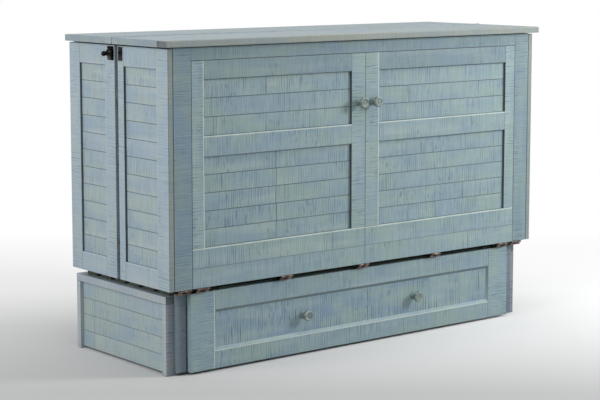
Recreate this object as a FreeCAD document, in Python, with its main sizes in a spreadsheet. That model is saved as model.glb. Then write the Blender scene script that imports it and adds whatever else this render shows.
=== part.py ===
import FreeCAD, Part
import Sketcher
import os
import re

Vector = FreeCAD.Vector

# Driving sizes in millimetres. Depths are measured back from the lid's front edge.
SIZES = {
    # lid
    "lid_width": 1711,
    "lid_depth": 618,
    "lid_thickness": 22,
    "overall_height": 1111,
    "lid_side_overhang": 17,
    "lid_front_overhang": 19,
    "lid_seam_gap": 4.6,
    "edging_width": 55,
    "edging_round": 4,
    "seam_depth": 322,
    # upper cabinet
    "body_bottom": 294,
    "side_thickness": 19,
    "side_top_gap": 5,
    "side_seam_gap": 18,
    "side_outer_stile": 66,
    "front_half_seam_stile": 36,
    "rear_half_seam_stile": 61,
    "side_top_rail": 68,
    "side_bottom_rail": 65,
    "board_pitch": 59.7,
    "board_thickness": 9,
    "side_board_recess": 8,
    "groove_width": 3.2,
    "groove_depth": 2.4,
    "back_thickness": 20,
    "back_stile": 90,
    # front panel
    "front_thickness": 22,
    "front_side_gap": 1.5,
    "front_top_gap": 2.5,
    "outer_stile": 71,
    "outer_top_strip": 43,
    "door_seam": 0.9,
    "door_stile": 49,
    "meeting_stile": 63,
    "door_top_rail": 62,
    "upper_window": 186,
    "middle_rail": 68,
    "lower_window": 301,
    "front_board_recess": 8,
    "platform_thickness": 6,
    "platform_margin": 18,
    # base
    "base_side_inset": 23.5,
    "base_side_thickness": 46,
    "base_top": 267,
    "base_rail": 26,
    "base_post": 23,
    "base_front_depth": 77,
    "base_rear_proud": 14,
    "base_board_inset": 12,
    "base_board_thickness": 12,
    "base_board_floor_gap": 7,
    "base_board_pitch": 58.5,
    # slats and mattress
    "slat_width": 62,
    "slat_thickness": 16,
    "slat_inset": 25,
    "mattress_side_room": 57.5,
    "mattress_height": 680,
    "mattress_fold": 150,
    "mattress_round": 28,
    "fold_gap": 3,
    # carriage that carries the front
    "face_depth": 61,
    "face_thickness": 15.5,
    "face_side_setback": 32,
    "face_top": 278,
    "face_bottom": 8,
    "face_rail": 43,
    "carriage_side_gap": 6,
    "carriage_side": 18,
    "carriage_back_depth": 590,
    "carriage_bottom": 25,
    "carriage_top": 250,
    "carriage_slat": 12,
    "rail_height": 30,
    "rail_centre": 135,
    "running_gap": 0.3,
    # drawer
    "drawer_front_gap": 3,
    "drawer_front_depth": 41,
    "drawer_front_thickness": 19.5,
    "drawer_top": 274,
    "drawer_stile": 100,
    "drawer_top_rail": 66,
    "drawer_bottom_rail": 63,
    "drawer_recess": 6,
    "slide_room": 15,
    "drawer_box_depth": 460,
    "drawer_box_bottom": 52,
    "drawer_box_top": 215,
    "drawer_wall": 12,
    "drawer_floor": 6,
    "slide_height": 40,
    "slide_sheet": 2,
    # knobs
    "knob_radius": 19,
    "knob_length": 37,
    "knob_stem_radius": 9,
    "door_knob_above_rail": 76,
    "drawer_knob_height": 141,
    "drawer_knob_spread": 260,
    # hinges of the front
    "hinge_axis_depth": 26,
    "hinge_axis_height": 289,
    "hinge_radius": 4.5,
    "hinge_leaf": 2,
    "hinge_length": 50,
    "hinge_outer_inset": 10,
    "hinge_door_inset": 46,
    "bumper_radius": 6,
    "bumper_from_hinge": 80,
    # hinges of the half sides and of the lid
    "side_hinge_radius": 4.5,
    "side_hinge_length": 64,
    "side_hinge_inset": 5,
    "lid_hinge_radius": 2,
    "lid_hinge_rise": 0.4,
    "lid_hinge_leaf": 1.2,
    # latch
    "latch_drop": 27,
    "latch_case_width": 36,
    "latch_case_height": 46,
    "latch_case_proud": 16,
    "latch_setback": 13,
    "latch_knob_radius": 7,
    "strike_width": 24,
    # casters
    "wheel_radius": 22,
    "wheel_width": 18,
    "wheel_depth": 112,
    "wheel_setback": 25,
    "axle_radius": 4,
    "fork_sheet": 2.5,
}

doc = FreeCAD.newDocument("cabinet_bed")
sheet = doc.addObject("Spreadsheet::Sheet", "sizes")
for row, (alias, size) in enumerate(SIZES.items(), start=1):
    sheet.set(f"A{row}", alias)
    sheet.set(f"B{row}", str(size))
    sheet.setAlias(f"B{row}", alias)
doc.recompute()

# Places that several pieces share, as expressions of the sheet.
LID_FRONT = "(-(lid_depth + base_rear_proud + lid_front_overhang - knob_length) / 2)"
BODY_FRONT = f"({LID_FRONT} + lid_front_overhang)"
BODY_REAR = f"({LID_FRONT} + lid_depth)"
SEAM = f"({LID_FRONT} + seam_depth)"
BODY_HALF = "(lid_width / 2 - lid_side_overhang)"
INNER_HALF = f"({BODY_HALF} - side_thickness)"
LID_UNDER = "(overall_height - lid_thickness)"
SIDE_TOP = f"({LID_UNDER} - side_top_gap)"
SIDE_HEIGHT = f"({SIDE_TOP} - body_bottom)"
SIDE_WINDOW = f"({SIDE_HEIGHT} - side_top_rail - side_bottom_rail)"
FRONT_HALF_LENGTH = f"({SEAM} - side_seam_gap / 2 - {BODY_FRONT})"
REAR_HALF_LENGTH = f"({BODY_REAR} - {SEAM} - side_seam_gap / 2)"
BACK_FACE = f"({BODY_REAR} - back_thickness)"
BASE_FRONT = f"({LID_FRONT} + base_front_depth)"
BASE_REAR = f"({BODY_REAR} + base_rear_proud)"
BASE_HALF = f"({BODY_HALF} - base_side_inset)"
BASE_INNER = f"({BASE_HALF} - base_side_thickness)"
FACE_FRONT = f"({LID_FRONT} + face_depth)"
FACE_BACK = f"({FACE_FRONT} + face_thickness)"
CARRIAGE_REAR = f"({LID_FRONT} + carriage_back_depth)"
FACE_HALF = f"({BASE_HALF} - face_side_setback)"
CARRIAGE_HALF = f"({BASE_INNER} - carriage_side_gap)"
CARRIAGE_INNER = f"({CARRIAGE_HALF} - carriage_side)"
DRAWER_HALF = f"({CARRIAGE_INNER} - drawer_front_gap)"
DRAWER_BOX_HALF = f"({CARRIAGE_INNER} - slide_room)"
WHEEL_X = f"({CARRIAGE_INNER} - wheel_setback)"
DRAWER_FACE = f"({LID_FRONT} + drawer_front_depth)"
DRAWER_BACK_OF_FRONT = f"({DRAWER_FACE} + drawer_front_thickness)"
FRONT_HALF_WIDTH = f"({INNER_HALF} - front_side_gap)"
FRONT_TOP = f"({LID_UNDER} - front_top_gap)"
FRONT_BACK = f"({BODY_FRONT} + front_thickness)"
DOOR_OUTER = f"({FRONT_HALF_WIDTH} - outer_stile - door_seam)"
DOOR_TOP = f"({FRONT_TOP} - outer_top_strip - door_seam)"
UPPER_LOW = f"({DOOR_TOP} - door_top_rail - upper_window)"
LOWER_LOW = f"({UPPER_LOW} - middle_rail - lower_window)"
HINGE_Y = f"({LID_FRONT} + hinge_axis_depth)"
HINGE_OUTER = f"({FACE_HALF} - hinge_outer_inset)"
HINGE_DOOR = f"({DOOR_OUTER} - hinge_door_inset)"
LATCH_Z = f"({SIDE_TOP} - latch_drop)"
MATTRESS_HALF = f"({INNER_HALF} - mattress_side_room)"


def sized(expression):
    """Turn the plain names in an expression into references to the sheet."""
    return re.sub(r"[a-z][a-z_]*", lambda name: "sizes." + name.group(0), expression)


def place(piece, x="0", y="0", z="0", rotation=None):
    """Set a piece's turn and tie its place to the sheet."""
    if rotation is not None:
        piece.Placement = FreeCAD.Placement(Vector(0, 0, 0), rotation)
    piece.setExpression("Placement.Base.x", sized(x))
    piece.setExpression("Placement.Base.y", sized(y))
    piece.setExpression("Placement.Base.z", sized(z))
    return piece


def turned(x_to, y_to, z_to):
    """Rotation that carries the local axes to the three given directions."""
    matrix = FreeCAD.Matrix(x_to[0], y_to[0], z_to[0], 0,
                            x_to[1], y_to[1], z_to[1], 0,
                            x_to[2], y_to[2], z_to[2], 0,
                            0, 0, 0, 1)
    return FreeCAD.Placement(matrix).Rotation


# A board drawn upright and facing the front, and one drawn along the depth.
FACING_FRONT = turned((1, 0, 0), (0, 0, 1), (0, -1, 0))
ALONG_DEPTH = turned((0, 1, 0), (0, 0, 1), (1, 0, 0))


def box(label, length, width, height, x, y, z):
    """Rectangular board with its low corner at x, y, z."""
    board = doc.addObject("Part::Box", label)
    board.setExpression("Length", sized(length))
    board.setExpression("Width", sized(width))
    board.setExpression("Height", sized(height))
    return place(board, x, y, z)


def rectangle(sketch, left, low, width, height):
    """Closed rectangle in a sketch, tied to the sheet."""
    first = sketch.GeometryCount
    corners = (Vector(10, 10, 0), Vector(20, 10, 0), Vector(20, 20, 0), Vector(10, 20, 0))
    for side in range(4):
        sketch.addGeometry(Part.LineSegment(corners[side], corners[(side + 1) % 4]))
    for side in range(4):
        following = first + (side + 1) % 4
        sketch.addConstraint(Sketcher.Constraint("Coincident", first + side, 2, following, 1))
    for side in (0, 2):
        sketch.addConstraint(Sketcher.Constraint("Horizontal", first + side))
        sketch.addConstraint(Sketcher.Constraint("Vertical", first + side + 1))
    limits = (
        ("DistanceX", (-1, 1, first, 1), left, 10),
        ("DistanceY", (-1, 1, first, 1), low, 10),
        ("DistanceX", (first, 1, first, 2), width, 10),
        ("DistanceY", (first + 1, 1, first + 1, 2), height, 10),
    )
    for kind, points, expression, start in limits:
        index = sketch.addConstraint(Sketcher.Constraint(kind, *points, start))
        sketch.setExpression(f"Constraints[{index}]", sized(expression))


def plane_of(body, role):
    """The body's own origin plane of a given role."""
    for feature in body.Origin.OriginFeatures:
        if feature.Role == role:
            return feature


def new_sketch(body, name, role="XY_Plane"):
    """Empty sketch on one of the body's own planes."""
    sketch = body.newObject("Sketcher::SketchObject", name)
    sketch.AttachmentSupport = [(plane_of(body, role), "")]
    sketch.MapMode = "FlatFace"
    return sketch


def framed(label, rectangles, thickness):
    """Flat frame: the first rectangle is its outline, the others are its windows."""
    body = doc.addObject("PartDesign::Body", label)
    sketch = new_sketch(body, label + "_outline")
    for edges in rectangles:
        rectangle(sketch, *edges)
    pad = body.newObject("PartDesign::Pad", label + "_pad")
    pad.Profile = sketch
    pad.setExpression("Length", sized(thickness))
    return body


def board_count(height, pitch):
    """Boards that fill a height, to the nearest whole board."""
    return max(1, round(height / pitch))


def boarded(label, height, height_mm, length, thickness, pitch):
    """Row of matched boards as one glued panel, with a V groove at every joint.

    The section is drawn with its show face along local +X and padded along the boards."""
    body = doc.addObject("PartDesign::Body", label)
    blank = new_sketch(body, label + "_section")
    rectangle(blank, "0", "0", thickness, height)
    pad = body.newObject("PartDesign::Pad", label + "_pad")
    pad.Profile = blank
    pad.setExpression("Length", sized(length))
    boards = board_count(height_mm, SIZES[pitch])
    if boards < 2:
        return body
    groove = new_sketch(body, label + "_groove")
    points = (Vector(10, 5, 0), Vector(10, 8, 0), Vector(8, 6.5, 0))
    for side in range(3):
        groove.addGeometry(Part.LineSegment(points[side], points[(side + 1) % 3]))
    for side in range(3):
        groove.addConstraint(Sketcher.Constraint("Coincident", side, 2, (side + 1) % 3, 1))
    groove.addConstraint(Sketcher.Constraint("Vertical", 0))
    limits = (
        ("DistanceX", (-1, 1, 0, 1), thickness),
        ("DistanceY", (-1, 1, 0, 1), f"({height}) / {boards} - groove_width / 2"),
        ("DistanceY", (0, 1, 0, 2), "groove_width"),
        ("DistanceX", (-1, 1, 2, 1), f"{thickness} - groove_depth"),
        ("DistanceY", (0, 1, 2, 1), "groove_width / 2"),
    )
    for kind, ends, expression in limits:
        index = groove.addConstraint(Sketcher.Constraint(kind, *ends, 3))
        groove.setExpression(f"Constraints[{index}]", sized(expression))
    pocket = body.newObject("PartDesign::Pocket", label + "_cut")
    pocket.Profile = groove
    pocket.Type = 1
    pocket.Reversed = True
    if boards > 2:
        pattern = body.newObject("PartDesign::LinearPattern", label + "_grooves")
        pattern.Originals = [pocket]
        pattern.Direction = (blank, ["V_Axis"])
        pattern.Occurrences = boards - 1
        pattern.setExpression("Length", sized(f"({height}) * {boards - 2} / {boards}"))
        body.Tip = pattern
    return body


def mm(name):
    return SIZES[name]


# Sizes in millimetres where a whole number of boards or slats is counted from them.
lid_under_mm = mm("overall_height") - mm("lid_thickness")
side_window_mm = (lid_under_mm - mm("side_top_gap") - mm("body_bottom")
                  - mm("side_top_rail") - mm("side_bottom_rail"))
body_half_mm = mm("lid_width") / 2 - mm("lid_side_overhang")

nodes = []
SIDES = (("left", -1), ("right", 1))


def keep(*pieces):
    nodes.extend(pieces)


# ---- Back: a frame between the sides, filled with boards, on the back board of the base.
back_height = f"({LID_UNDER} - body_bottom + 4)"
back_window = f"({back_height} - 2 * back_stile)"
back_frame = framed("back_frame", (
    ("0", "0", f"2 * {INNER_HALF}", back_height),
    ("back_stile", "back_stile", f"{INNER_HALF} - back_stile * 3 / 2", back_window),
    (f"{INNER_HALF} + back_stile / 2", "back_stile",
     f"{INNER_HALF} - back_stile * 3 / 2", back_window),
), "back_thickness")
place(back_frame, f"-{INNER_HALF}", BODY_REAR, "body_bottom - 4", FACING_FRONT)
back_boards = boarded("back_boards", back_height, lid_under_mm - mm("body_bottom") + 4,
                      f"2 * {INNER_HALF}", "board_thickness", "board_pitch")
place(back_boards, INNER_HALF, BACK_FACE, "body_bottom - 4",
      turned((0, -1, 0), (0, 0, 1), (-1, 0, 0)))
base_back_board = box("base_back_board", f"2 * {BASE_INNER}", "back_thickness",
                      "body_bottom - 4 - base_board_floor_gap",
                      f"-{BASE_INNER}", BACK_FACE, "base_board_floor_gap")
keep(back_frame, back_boards, base_back_board)

# ---- Sides: each is two half panels, a frame with boards let into its outer face.
HALVES = (
    ("rear", f"({SEAM} + side_seam_gap / 2)", REAR_HALF_LENGTH,
     "rear_half_seam_stile", "side_outer_stile"),
    ("front", BODY_FRONT, FRONT_HALF_LENGTH, "side_outer_stile", "front_half_seam_stile"),
)
for half, start, length, near_stile, far_stile in HALVES:
    window = f"({length} - {near_stile} - {far_stile})"
    for side, sign in SIDES:
        frame = framed(f"side_frame_{half}_{side}", (
            ("0", "0", length, SIDE_HEIGHT),
            (near_stile, "side_bottom_rail", window, SIDE_WINDOW),
        ), "side_thickness")
        inner_x = f"-{BODY_HALF}" if sign < 0 else INNER_HALF
        place(frame, inner_x, start, "body_bottom", ALONG_DEPTH)
        boards = boarded(f"side_boards_{half}_{side}", SIDE_WINDOW, side_window_mm,
                         window, "board_thickness", "board_pitch")
        back_of_boards = f"({BODY_HALF} - side_board_recess - board_thickness)"
        low_z = "body_bottom + side_bottom_rail"
        if sign < 0:
            place(boards, f"-{back_of_boards}", f"{start} + {near_stile}", low_z,
                  turned((-1, 0, 0), (0, 0, 1), (0, 1, 0)))
        else:
            place(boards, back_of_boards, f"{start} + {near_stile} + {window}", low_z,
                  turned((1, 0, 0), (0, 0, 1), (0, -1, 0)))
        keep(frame, boards)

# ---- Lid: two halves that meet at the seam; the front one carries a rounded edging strip.
lid_rear = box("lid_rear", "lid_width", f"lid_depth - seam_depth - lid_seam_gap / 2",
               "lid_thickness", "-lid_width / 2", f"{SEAM} + lid_seam_gap / 2", LID_UNDER)
lid_front = box("lid_front", "lid_width", "seam_depth - lid_seam_gap / 2 - edging_width",
                "lid_thickness", "-lid_width / 2", f"{LID_FRONT} + edging_width", LID_UNDER)
edging_blank = doc.addObject("Part::Box", "edging_blank")
edging_blank.setExpression("Length", sized("lid_width"))
edging_blank.setExpression("Width", sized("edging_width"))
edging_blank.setExpression("Height", sized("lid_thickness"))
place(edging_blank, "-lid_width / 2", LID_FRONT, LID_UNDER)
doc.recompute()
front_edges = []
for number, edge in enumerate(edging_blank.Shape.Edges, start=1):
    middle = edge.CenterOfMass
    if abs(middle.y - edging_blank.Shape.BoundBox.YMin) < 0.01 and abs(middle.x) < 1:
        front_edges.append((number, mm("edging_round"), mm("edging_round")))
lid_edging = doc.addObject("Part::Fillet", "lid_edging")
lid_edging.Base = edging_blank
lid_edging.Edges = front_edges
keep(lid_rear, lid_front, lid_edging)

# ---- Front panel: outer frame, two faux doors let into it, boards in their four windows.
front_height = f"({FRONT_TOP} - body_bottom)"
outer_frame = framed("front_outer_frame", (
    ("0", "0", f"2 * {FRONT_HALF_WIDTH}", front_height),
), "front_thickness")
outer_cut = new_sketch(outer_frame, "front_outer_frame_mouth")
rectangle(outer_cut, "outer_stile", "0", f"2 * ({FRONT_HALF_WIDTH} - outer_stile)",
          f"{front_height} - outer_top_strip")
outer_pocket = outer_frame.newObject("PartDesign::Pocket", "front_outer_frame_cut")
outer_pocket.Profile = outer_cut
outer_pocket.Type = 1
outer_pocket.Reversed = True
place(outer_frame, f"-{FRONT_HALF_WIDTH}", FRONT_BACK, "body_bottom", FACING_FRONT)
keep(outer_frame)

door_width = f"({DOOR_OUTER} - door_seam / 2)"
door_height = f"({DOOR_TOP} - body_bottom)"
window_width = f"({door_width} - door_stile - meeting_stile)"
for side, sign in SIDES:
    hinge_stile = "door_stile" if sign < 0 else "meeting_stile"
    door = framed(f"door_frame_{side}", (
        ("0", "0", door_width, door_height),
        (hinge_stile, f"{LOWER_LOW} - body_bottom", window_width, "lower_window"),
        (hinge_stile, f"{UPPER_LOW} - body_bottom", window_width, "upper_window"),
    ), "front_thickness")
    place(door, f"-{DOOR_OUTER}" if sign < 0 else "door_seam / 2", FRONT_BACK,
          "body_bottom", FACING_FRONT)
    keep(door)
    for level, low, height in (("lower", LOWER_LOW, "lower_window"),
                               ("upper", UPPER_LOW, "upper_window")):
        panel = boarded(f"door_boards_{level}_{side}", height, mm(height), window_width,
                        "board_thickness", "board_pitch")
        right_end = f"{DOOR_OUTER} - door_stile" if sign > 0 else "-(door_seam / 2 + meeting_stile)"
        back_of_boards = f"{BODY_FRONT} + front_board_recess + board_thickness"
        place(panel, right_end, back_of_boards, low,
              turned((0, -1, 0), (0, 0, 1), (-1, 0, 0)))
        keep(panel)


# A plywood sheet behind the frames ties them together; let down, it carries the mattress.
keep(box("front_platform", f"2 * ({FRONT_HALF_WIDTH} - platform_margin)", "platform_thickness",
         f"{front_height} - 2 * platform_margin", f"-({FRONT_HALF_WIDTH} - platform_margin)",
         FRONT_BACK, "body_bottom + platform_margin"))

# ---- Base: an inverted-U frame at each end with boards set back between its legs.
base_length = f"({BASE_REAR} - {BASE_FRONT})"
base_window = f"({base_length} - 2 * base_post)"
base_window_height = "(base_top - base_rail - base_board_floor_gap)"
base_window_mm = mm("base_top") - mm("base_rail") - mm("base_board_floor_gap")
for side, sign in SIDES:
    frame = framed(f"base_frame_{side}", (("0", "0", base_length, "base_top"),),
                   "base_side_thickness")
    mouth = new_sketch(frame, f"base_frame_{side}_mouth")
    rectangle(mouth, "base_post", "0", base_window, "base_top - base_rail")
    cut = frame.newObject("PartDesign::Pocket", f"base_frame_{side}_cut")
    cut.Profile = mouth
    cut.Type = 1
    cut.Reversed = True
    place(frame, f"-{BASE_HALF}" if sign < 0 else BASE_INNER, BASE_FRONT, "0", ALONG_DEPTH)
    boards = boarded(f"base_boards_{side}", base_window_height, base_window_mm, base_window,
                     "base_board_thickness", "base_board_pitch")
    board_back = f"({BASE_HALF} - base_board_inset - base_board_thickness)"
    if sign < 0:
        place(boards, f"-{board_back}", f"{BASE_FRONT} + base_post", "base_board_floor_gap",
              turned((-1, 0, 0), (0, 0, 1), (0, 1, 0)))
    else:
        place(boards, board_back, f"{BASE_REAR} - base_post", "base_board_floor_gap",
              turned((1, 0, 0), (0, 0, 1), (0, -1, 0)))
    keep(frame, boards)


def group(label, pieces):
    """Several like solids that share one node."""
    bundle = doc.addObject("Part::Compound", label)
    bundle.Links = pieces
    keep(bundle)
    return bundle


def joined(label, pieces):
    """Pieces welded or turned as one."""
    fused = doc.addObject("Part::MultiFuse", label)
    fused.Shapes = pieces
    return fused


ALONG_X = FreeCAD.Rotation(Vector(0, 1, 0), 90)
UPRIGHT = FreeCAD.Rotation()


def rod(label, radius, length, x, y, z, rotation=ALONG_X):
    """Cylinder along +X unless it is turned."""
    piece = doc.addObject("Part::Cylinder", label)
    piece.setExpression("Radius", sized(radius))
    piece.setExpression("Height", sized(length))
    return place(piece, x, y, z, rotation)


# ---- Fixed slats on the base frames, and the folded mattress standing on them.
SLATS = 6
slat_first = f"({FACE_BACK} + slat_thickness)"
slat_step = f"(({BACK_FACE} - {slat_first} - slat_width) / {SLATS - 1})"
group("deck_slats", [
    box(f"deck_slat_{number + 1}", f"2 * ({BASE_HALF} - slat_inset)", "slat_width",
        "slat_thickness", f"-({BASE_HALF} - slat_inset)",
        f"{slat_first} + {number} * {slat_step}", "base_top")
    for number in range(SLATS)
])
for number, name in enumerate(("rear", "middle", "front")):
    blank = box(f"mattress_{name}_blank", f"2 * {MATTRESS_HALF}", "mattress_fold", "mattress_height",
                f"-{MATTRESS_HALF}",
                f"{BACK_FACE} - board_thickness - {number + 1} * (mattress_fold + fold_gap)",
                "base_top + slat_thickness + running_gap")
    doc.recompute()
    long_edges = [
        (number, mm("mattress_round"), mm("mattress_round"))
        for number, edge in enumerate(blank.Shape.Edges, start=1)
        if edge.Length > mm("mattress_height") + 1
    ]
    fold = doc.addObject("Part::Fillet", f"mattress_{name}")
    fold.Base = blank
    fold.Edges = long_edges
    keep(fold)

# ---- Carriage: face frame, sides and slats; it rolls out of the base and carries the front.
keep(box("face_top_rail", f"2 * {FACE_HALF}", "face_thickness", "face_rail",
         f"-{FACE_HALF}", FACE_FRONT, "face_top - face_rail"))
group("face_stiles", [
    box(f"face_stile_{side}", f"{FACE_HALF} - {CARRIAGE_INNER}", "face_thickness",
        "face_top - face_rail - face_bottom",
        f"-{FACE_HALF}" if sign < 0 else CARRIAGE_INNER, FACE_FRONT, "face_bottom")
    for side, sign in SIDES
])
group("carriage_sides", [
    box(f"carriage_side_{side}", "carriage_side", f"{CARRIAGE_REAR} - {FACE_BACK}",
        "carriage_top - carriage_bottom",
        f"-{CARRIAGE_HALF}" if sign < 0 else CARRIAGE_INNER, FACE_BACK, "carriage_bottom")
    for side, sign in SIDES
])
carriage_step = f"(({CARRIAGE_REAR} - {FACE_BACK} - slat_width) / {SLATS - 1})"
group("carriage_slats", [
    box(f"carriage_slat_{number + 1}", f"2 * {CARRIAGE_HALF}", "slat_width",
        "carriage_slat", f"-{CARRIAGE_HALF}", f"{FACE_BACK} + {number} * {carriage_step}",
        "carriage_top")
    for number in range(SLATS)
])
runner = f"(({BASE_INNER} - {CARRIAGE_HALF} - running_gap) / 2)"
group("carriage_runners", [
    box(f"carriage_runner_{side}", runner, f"{CARRIAGE_REAR} - {BASE_FRONT} - base_post",
        "rail_height",
        f"-({CARRIAGE_HALF} + {runner})" if sign < 0 else CARRIAGE_HALF,
        f"{BASE_FRONT} + base_post", "rail_centre - rail_height / 2")
    for side, sign in SIDES
])
group("base_rails", [
    box(f"base_rail_{side}", runner, f"{BACK_FACE} - {BASE_FRONT}", "rail_height",
        f"-{BASE_INNER}" if sign < 0 else f"{BASE_INNER} - {runner}",
        BASE_FRONT, "rail_centre - rail_height / 2")
    for side, sign in SIDES
])

# ---- Drawer: a front with a sunk panel on an open box, hung on two channel slides.
drawer_height = "(drawer_top - face_bottom)"
drawer_front = framed("drawer_front", (
    ("0", "0", f"2 * {DRAWER_HALF}", drawer_height),
), "drawer_front_thickness")
sunk = new_sketch(drawer_front, "drawer_front_sunk")
rectangle(sunk, "drawer_stile", "drawer_bottom_rail", f"2 * ({DRAWER_HALF} - drawer_stile)",
          f"{drawer_height} - drawer_top_rail - drawer_bottom_rail")
sunk.setExpression("AttachmentOffset.Base.z", sized("drawer_front_thickness"))
sink = drawer_front.newObject("PartDesign::Pocket", "drawer_front_pocket")
sink.Profile = sunk
sink.setExpression("Length", sized("drawer_recess"))
place(drawer_front, f"-{DRAWER_HALF}", DRAWER_BACK_OF_FRONT, "face_bottom", FACING_FRONT)
box_height = "(drawer_box_top - drawer_box_bottom)"
box_inner = f"({DRAWER_BOX_HALF} - drawer_wall)"
keep(drawer_front)
group("drawer_sides", [
    box(f"drawer_side_{side}", "drawer_wall", "drawer_box_depth", box_height,
        f"-{DRAWER_BOX_HALF}" if sign < 0 else box_inner,
        DRAWER_BACK_OF_FRONT, "drawer_box_bottom")
    for side, sign in SIDES
])
drawer_end = f"({DRAWER_BACK_OF_FRONT} + drawer_box_depth - drawer_wall)"
keep(box("drawer_back", f"2 * {box_inner}", "drawer_wall", box_height, f"-{box_inner}",
         drawer_end, "drawer_box_bottom"))
keep(box("drawer_bottom", f"2 * {box_inner}", "drawer_box_depth - drawer_wall", "drawer_floor",
         f"-{box_inner}", DRAWER_BACK_OF_FRONT, "drawer_box_bottom"))
channel_room = f"({CARRIAGE_INNER} - {DRAWER_BOX_HALF})"
channel_depth = f"({channel_room} / 2)"
outer_slides = []
inner_slides = []
for side, sign in SIDES:
    channel_x = f"-{CARRIAGE_INNER}" if sign < 0 else f"{CARRIAGE_INNER} - {channel_depth}"
    channel = box(f"slide_channel_{side}", channel_depth, "drawer_box_depth", "slide_height",
                  channel_x, FACE_BACK, "rail_centre - slide_height / 2")
    hollow_x = f"{channel_x} + slide_sheet" if sign < 0 else f"{channel_x} - slide_sheet"
    hollow = box(f"slide_hollow_{side}", channel_depth, "drawer_box_depth + 2",
                 "slide_height - 2 * slide_sheet", hollow_x, f"{FACE_BACK} - 1",
                 "rail_centre - slide_height / 2 + slide_sheet")
    slide = doc.addObject("Part::Cut", f"slide_outer_{side}")
    slide.Base = channel
    slide.Tool = hollow
    outer_slides.append(slide)
    tongue = f"({channel_room} - slide_sheet - running_gap)"
    inner_slides.append(box(
        f"slide_inner_{side}", tongue, "drawer_box_depth - drawer_wall",
        "slide_height - 2 * slide_sheet - 2 * running_gap",
        f"-({DRAWER_BOX_HALF} + {tongue})" if sign < 0 else DRAWER_BOX_HALF,
        f"{FACE_BACK} - face_thickness + drawer_wall",
        "rail_centre - slide_height / 2 + slide_sheet + running_gap"))
group("drawer_slides_outer", outer_slides)
group("drawer_slides_inner", inner_slides)
bumper_height = "(hinge_axis_height - hinge_axis_depth + lid_front_overhang - running_gap - drawer_top)"
group("drawer_bumpers", [
    rod(f"drawer_bumper_{side}", "bumper_radius", bumper_height,
        f"{sign} * ({HINGE_DOOR} - bumper_from_hinge)",
        f"{DRAWER_FACE} + drawer_front_thickness / 2", "drawer_top", UPRIGHT)
    for side, sign in SIDES
])


def knob(label, x, face, z):
    """Turned wooden knob: foot, waist, swelling head and a dished, ringed face."""
    head = mm("knob_radius")
    reach = mm("knob_length")
    stem = mm("knob_stem_radius")
    body = doc.addObject("PartDesign::Body", label)
    profile = new_sketch(body, label + "_profile")
    points = (
        Vector(0, 0, 0),
        Vector(stem * 1.4, 0, 0),
        Vector(stem * 1.4, reach * 0.08, 0),
        Vector(stem * 0.88, reach * 0.3, 0),
        Vector(head * 0.88, reach * 0.56, 0),
        Vector(head, reach * 0.72, 0),
        Vector(head * 0.78, reach, 0),
        Vector(head * 0.5, reach * 0.95, 0),
        Vector(0, reach * 0.95, 0),
    )
    for start, end in zip(points, points[1:] + points[:1]):
        profile.addGeometry(Part.LineSegment(start, end))
    turning = body.newObject("PartDesign::Revolution", label + "_turning")
    turning.Profile = profile
    turning.ReferenceAxis = (profile, ["V_Axis"])
    turning.Angle = 360
    return place(body, x, face, z, turned((1, 0, 0), (0, -1, 0), (0, 0, -1)))


group("door_knobs", [
    knob(f"door_knob_{side}", f"{sign} * (meeting_stile + door_seam) / 2", BODY_FRONT,
         f"{UPPER_LOW} + door_knob_above_rail")
    for side, sign in SIDES
])
drawer_knob_face = f"({DRAWER_FACE} + drawer_recess)"
group("drawer_knobs", [
    knob(f"drawer_knob_{side}", f"{sign} * drawer_knob_spread", drawer_knob_face,
         "drawer_knob_height")
    for side, sign in SIDES
])

# ---- Butt hinges that let the front down: cranked lower leaf, straight upper leaf.
hinge_places = ["0"]
for offset in (f"{HINGE_DOOR} / 2", HINGE_DOOR, HINGE_OUTER):
    hinge_places += [f"-{offset}", offset]
third = "(hinge_length / 3 - running_gap)"
lower_leaves = []
upper_leaves = []
for number, centre in enumerate(hinge_places, start=1):
    start = f"{centre} - hinge_length / 2"
    pieces = [box(f"lower_leaf_{number}", "hinge_length",
                  f"{FACE_BACK} - {HINGE_Y} - hinge_radius + hinge_leaf", "hinge_leaf",
                  start, f"{HINGE_Y} + hinge_radius - hinge_leaf", "face_top")]
    for end, knuckle_start in (("a", start), ("b", f"{centre} + hinge_length / 2 - {third}")):
        pieces.append(rod(f"lower_knuckle_{number}{end}", "hinge_radius", third,
                          knuckle_start, HINGE_Y, "hinge_axis_height"))
        pieces.append(box(f"lower_web_{number}{end}", third, "hinge_leaf",
                          "hinge_axis_height - face_top", knuckle_start,
                          f"{HINGE_Y} + hinge_radius - hinge_leaf", "face_top"))
    lower_leaves.append(joined(f"front_hinge_lower_{number}", pieces))
    middle = f"{centre} - {third} / 2"
    clear = "(hinge_radius + 1)"
    upper_leaves.append(joined(f"front_hinge_upper_{number}", [
        rod(f"upper_knuckle_{number}", "hinge_radius", third, middle, HINGE_Y,
            "hinge_axis_height"),
        box(f"upper_tongue_{number}", third, clear, "hinge_leaf", middle, HINGE_Y,
            "body_bottom - hinge_leaf"),
        box(f"upper_leaf_{number}", "hinge_length",
            f"{FRONT_BACK} - {HINGE_Y} - {clear}", "hinge_leaf", start,
            f"{HINGE_Y} + {clear}", "body_bottom - hinge_leaf"),
    ]))
group("front_hinge_lower", lower_leaves)
group("front_hinge_upper", upper_leaves)

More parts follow.
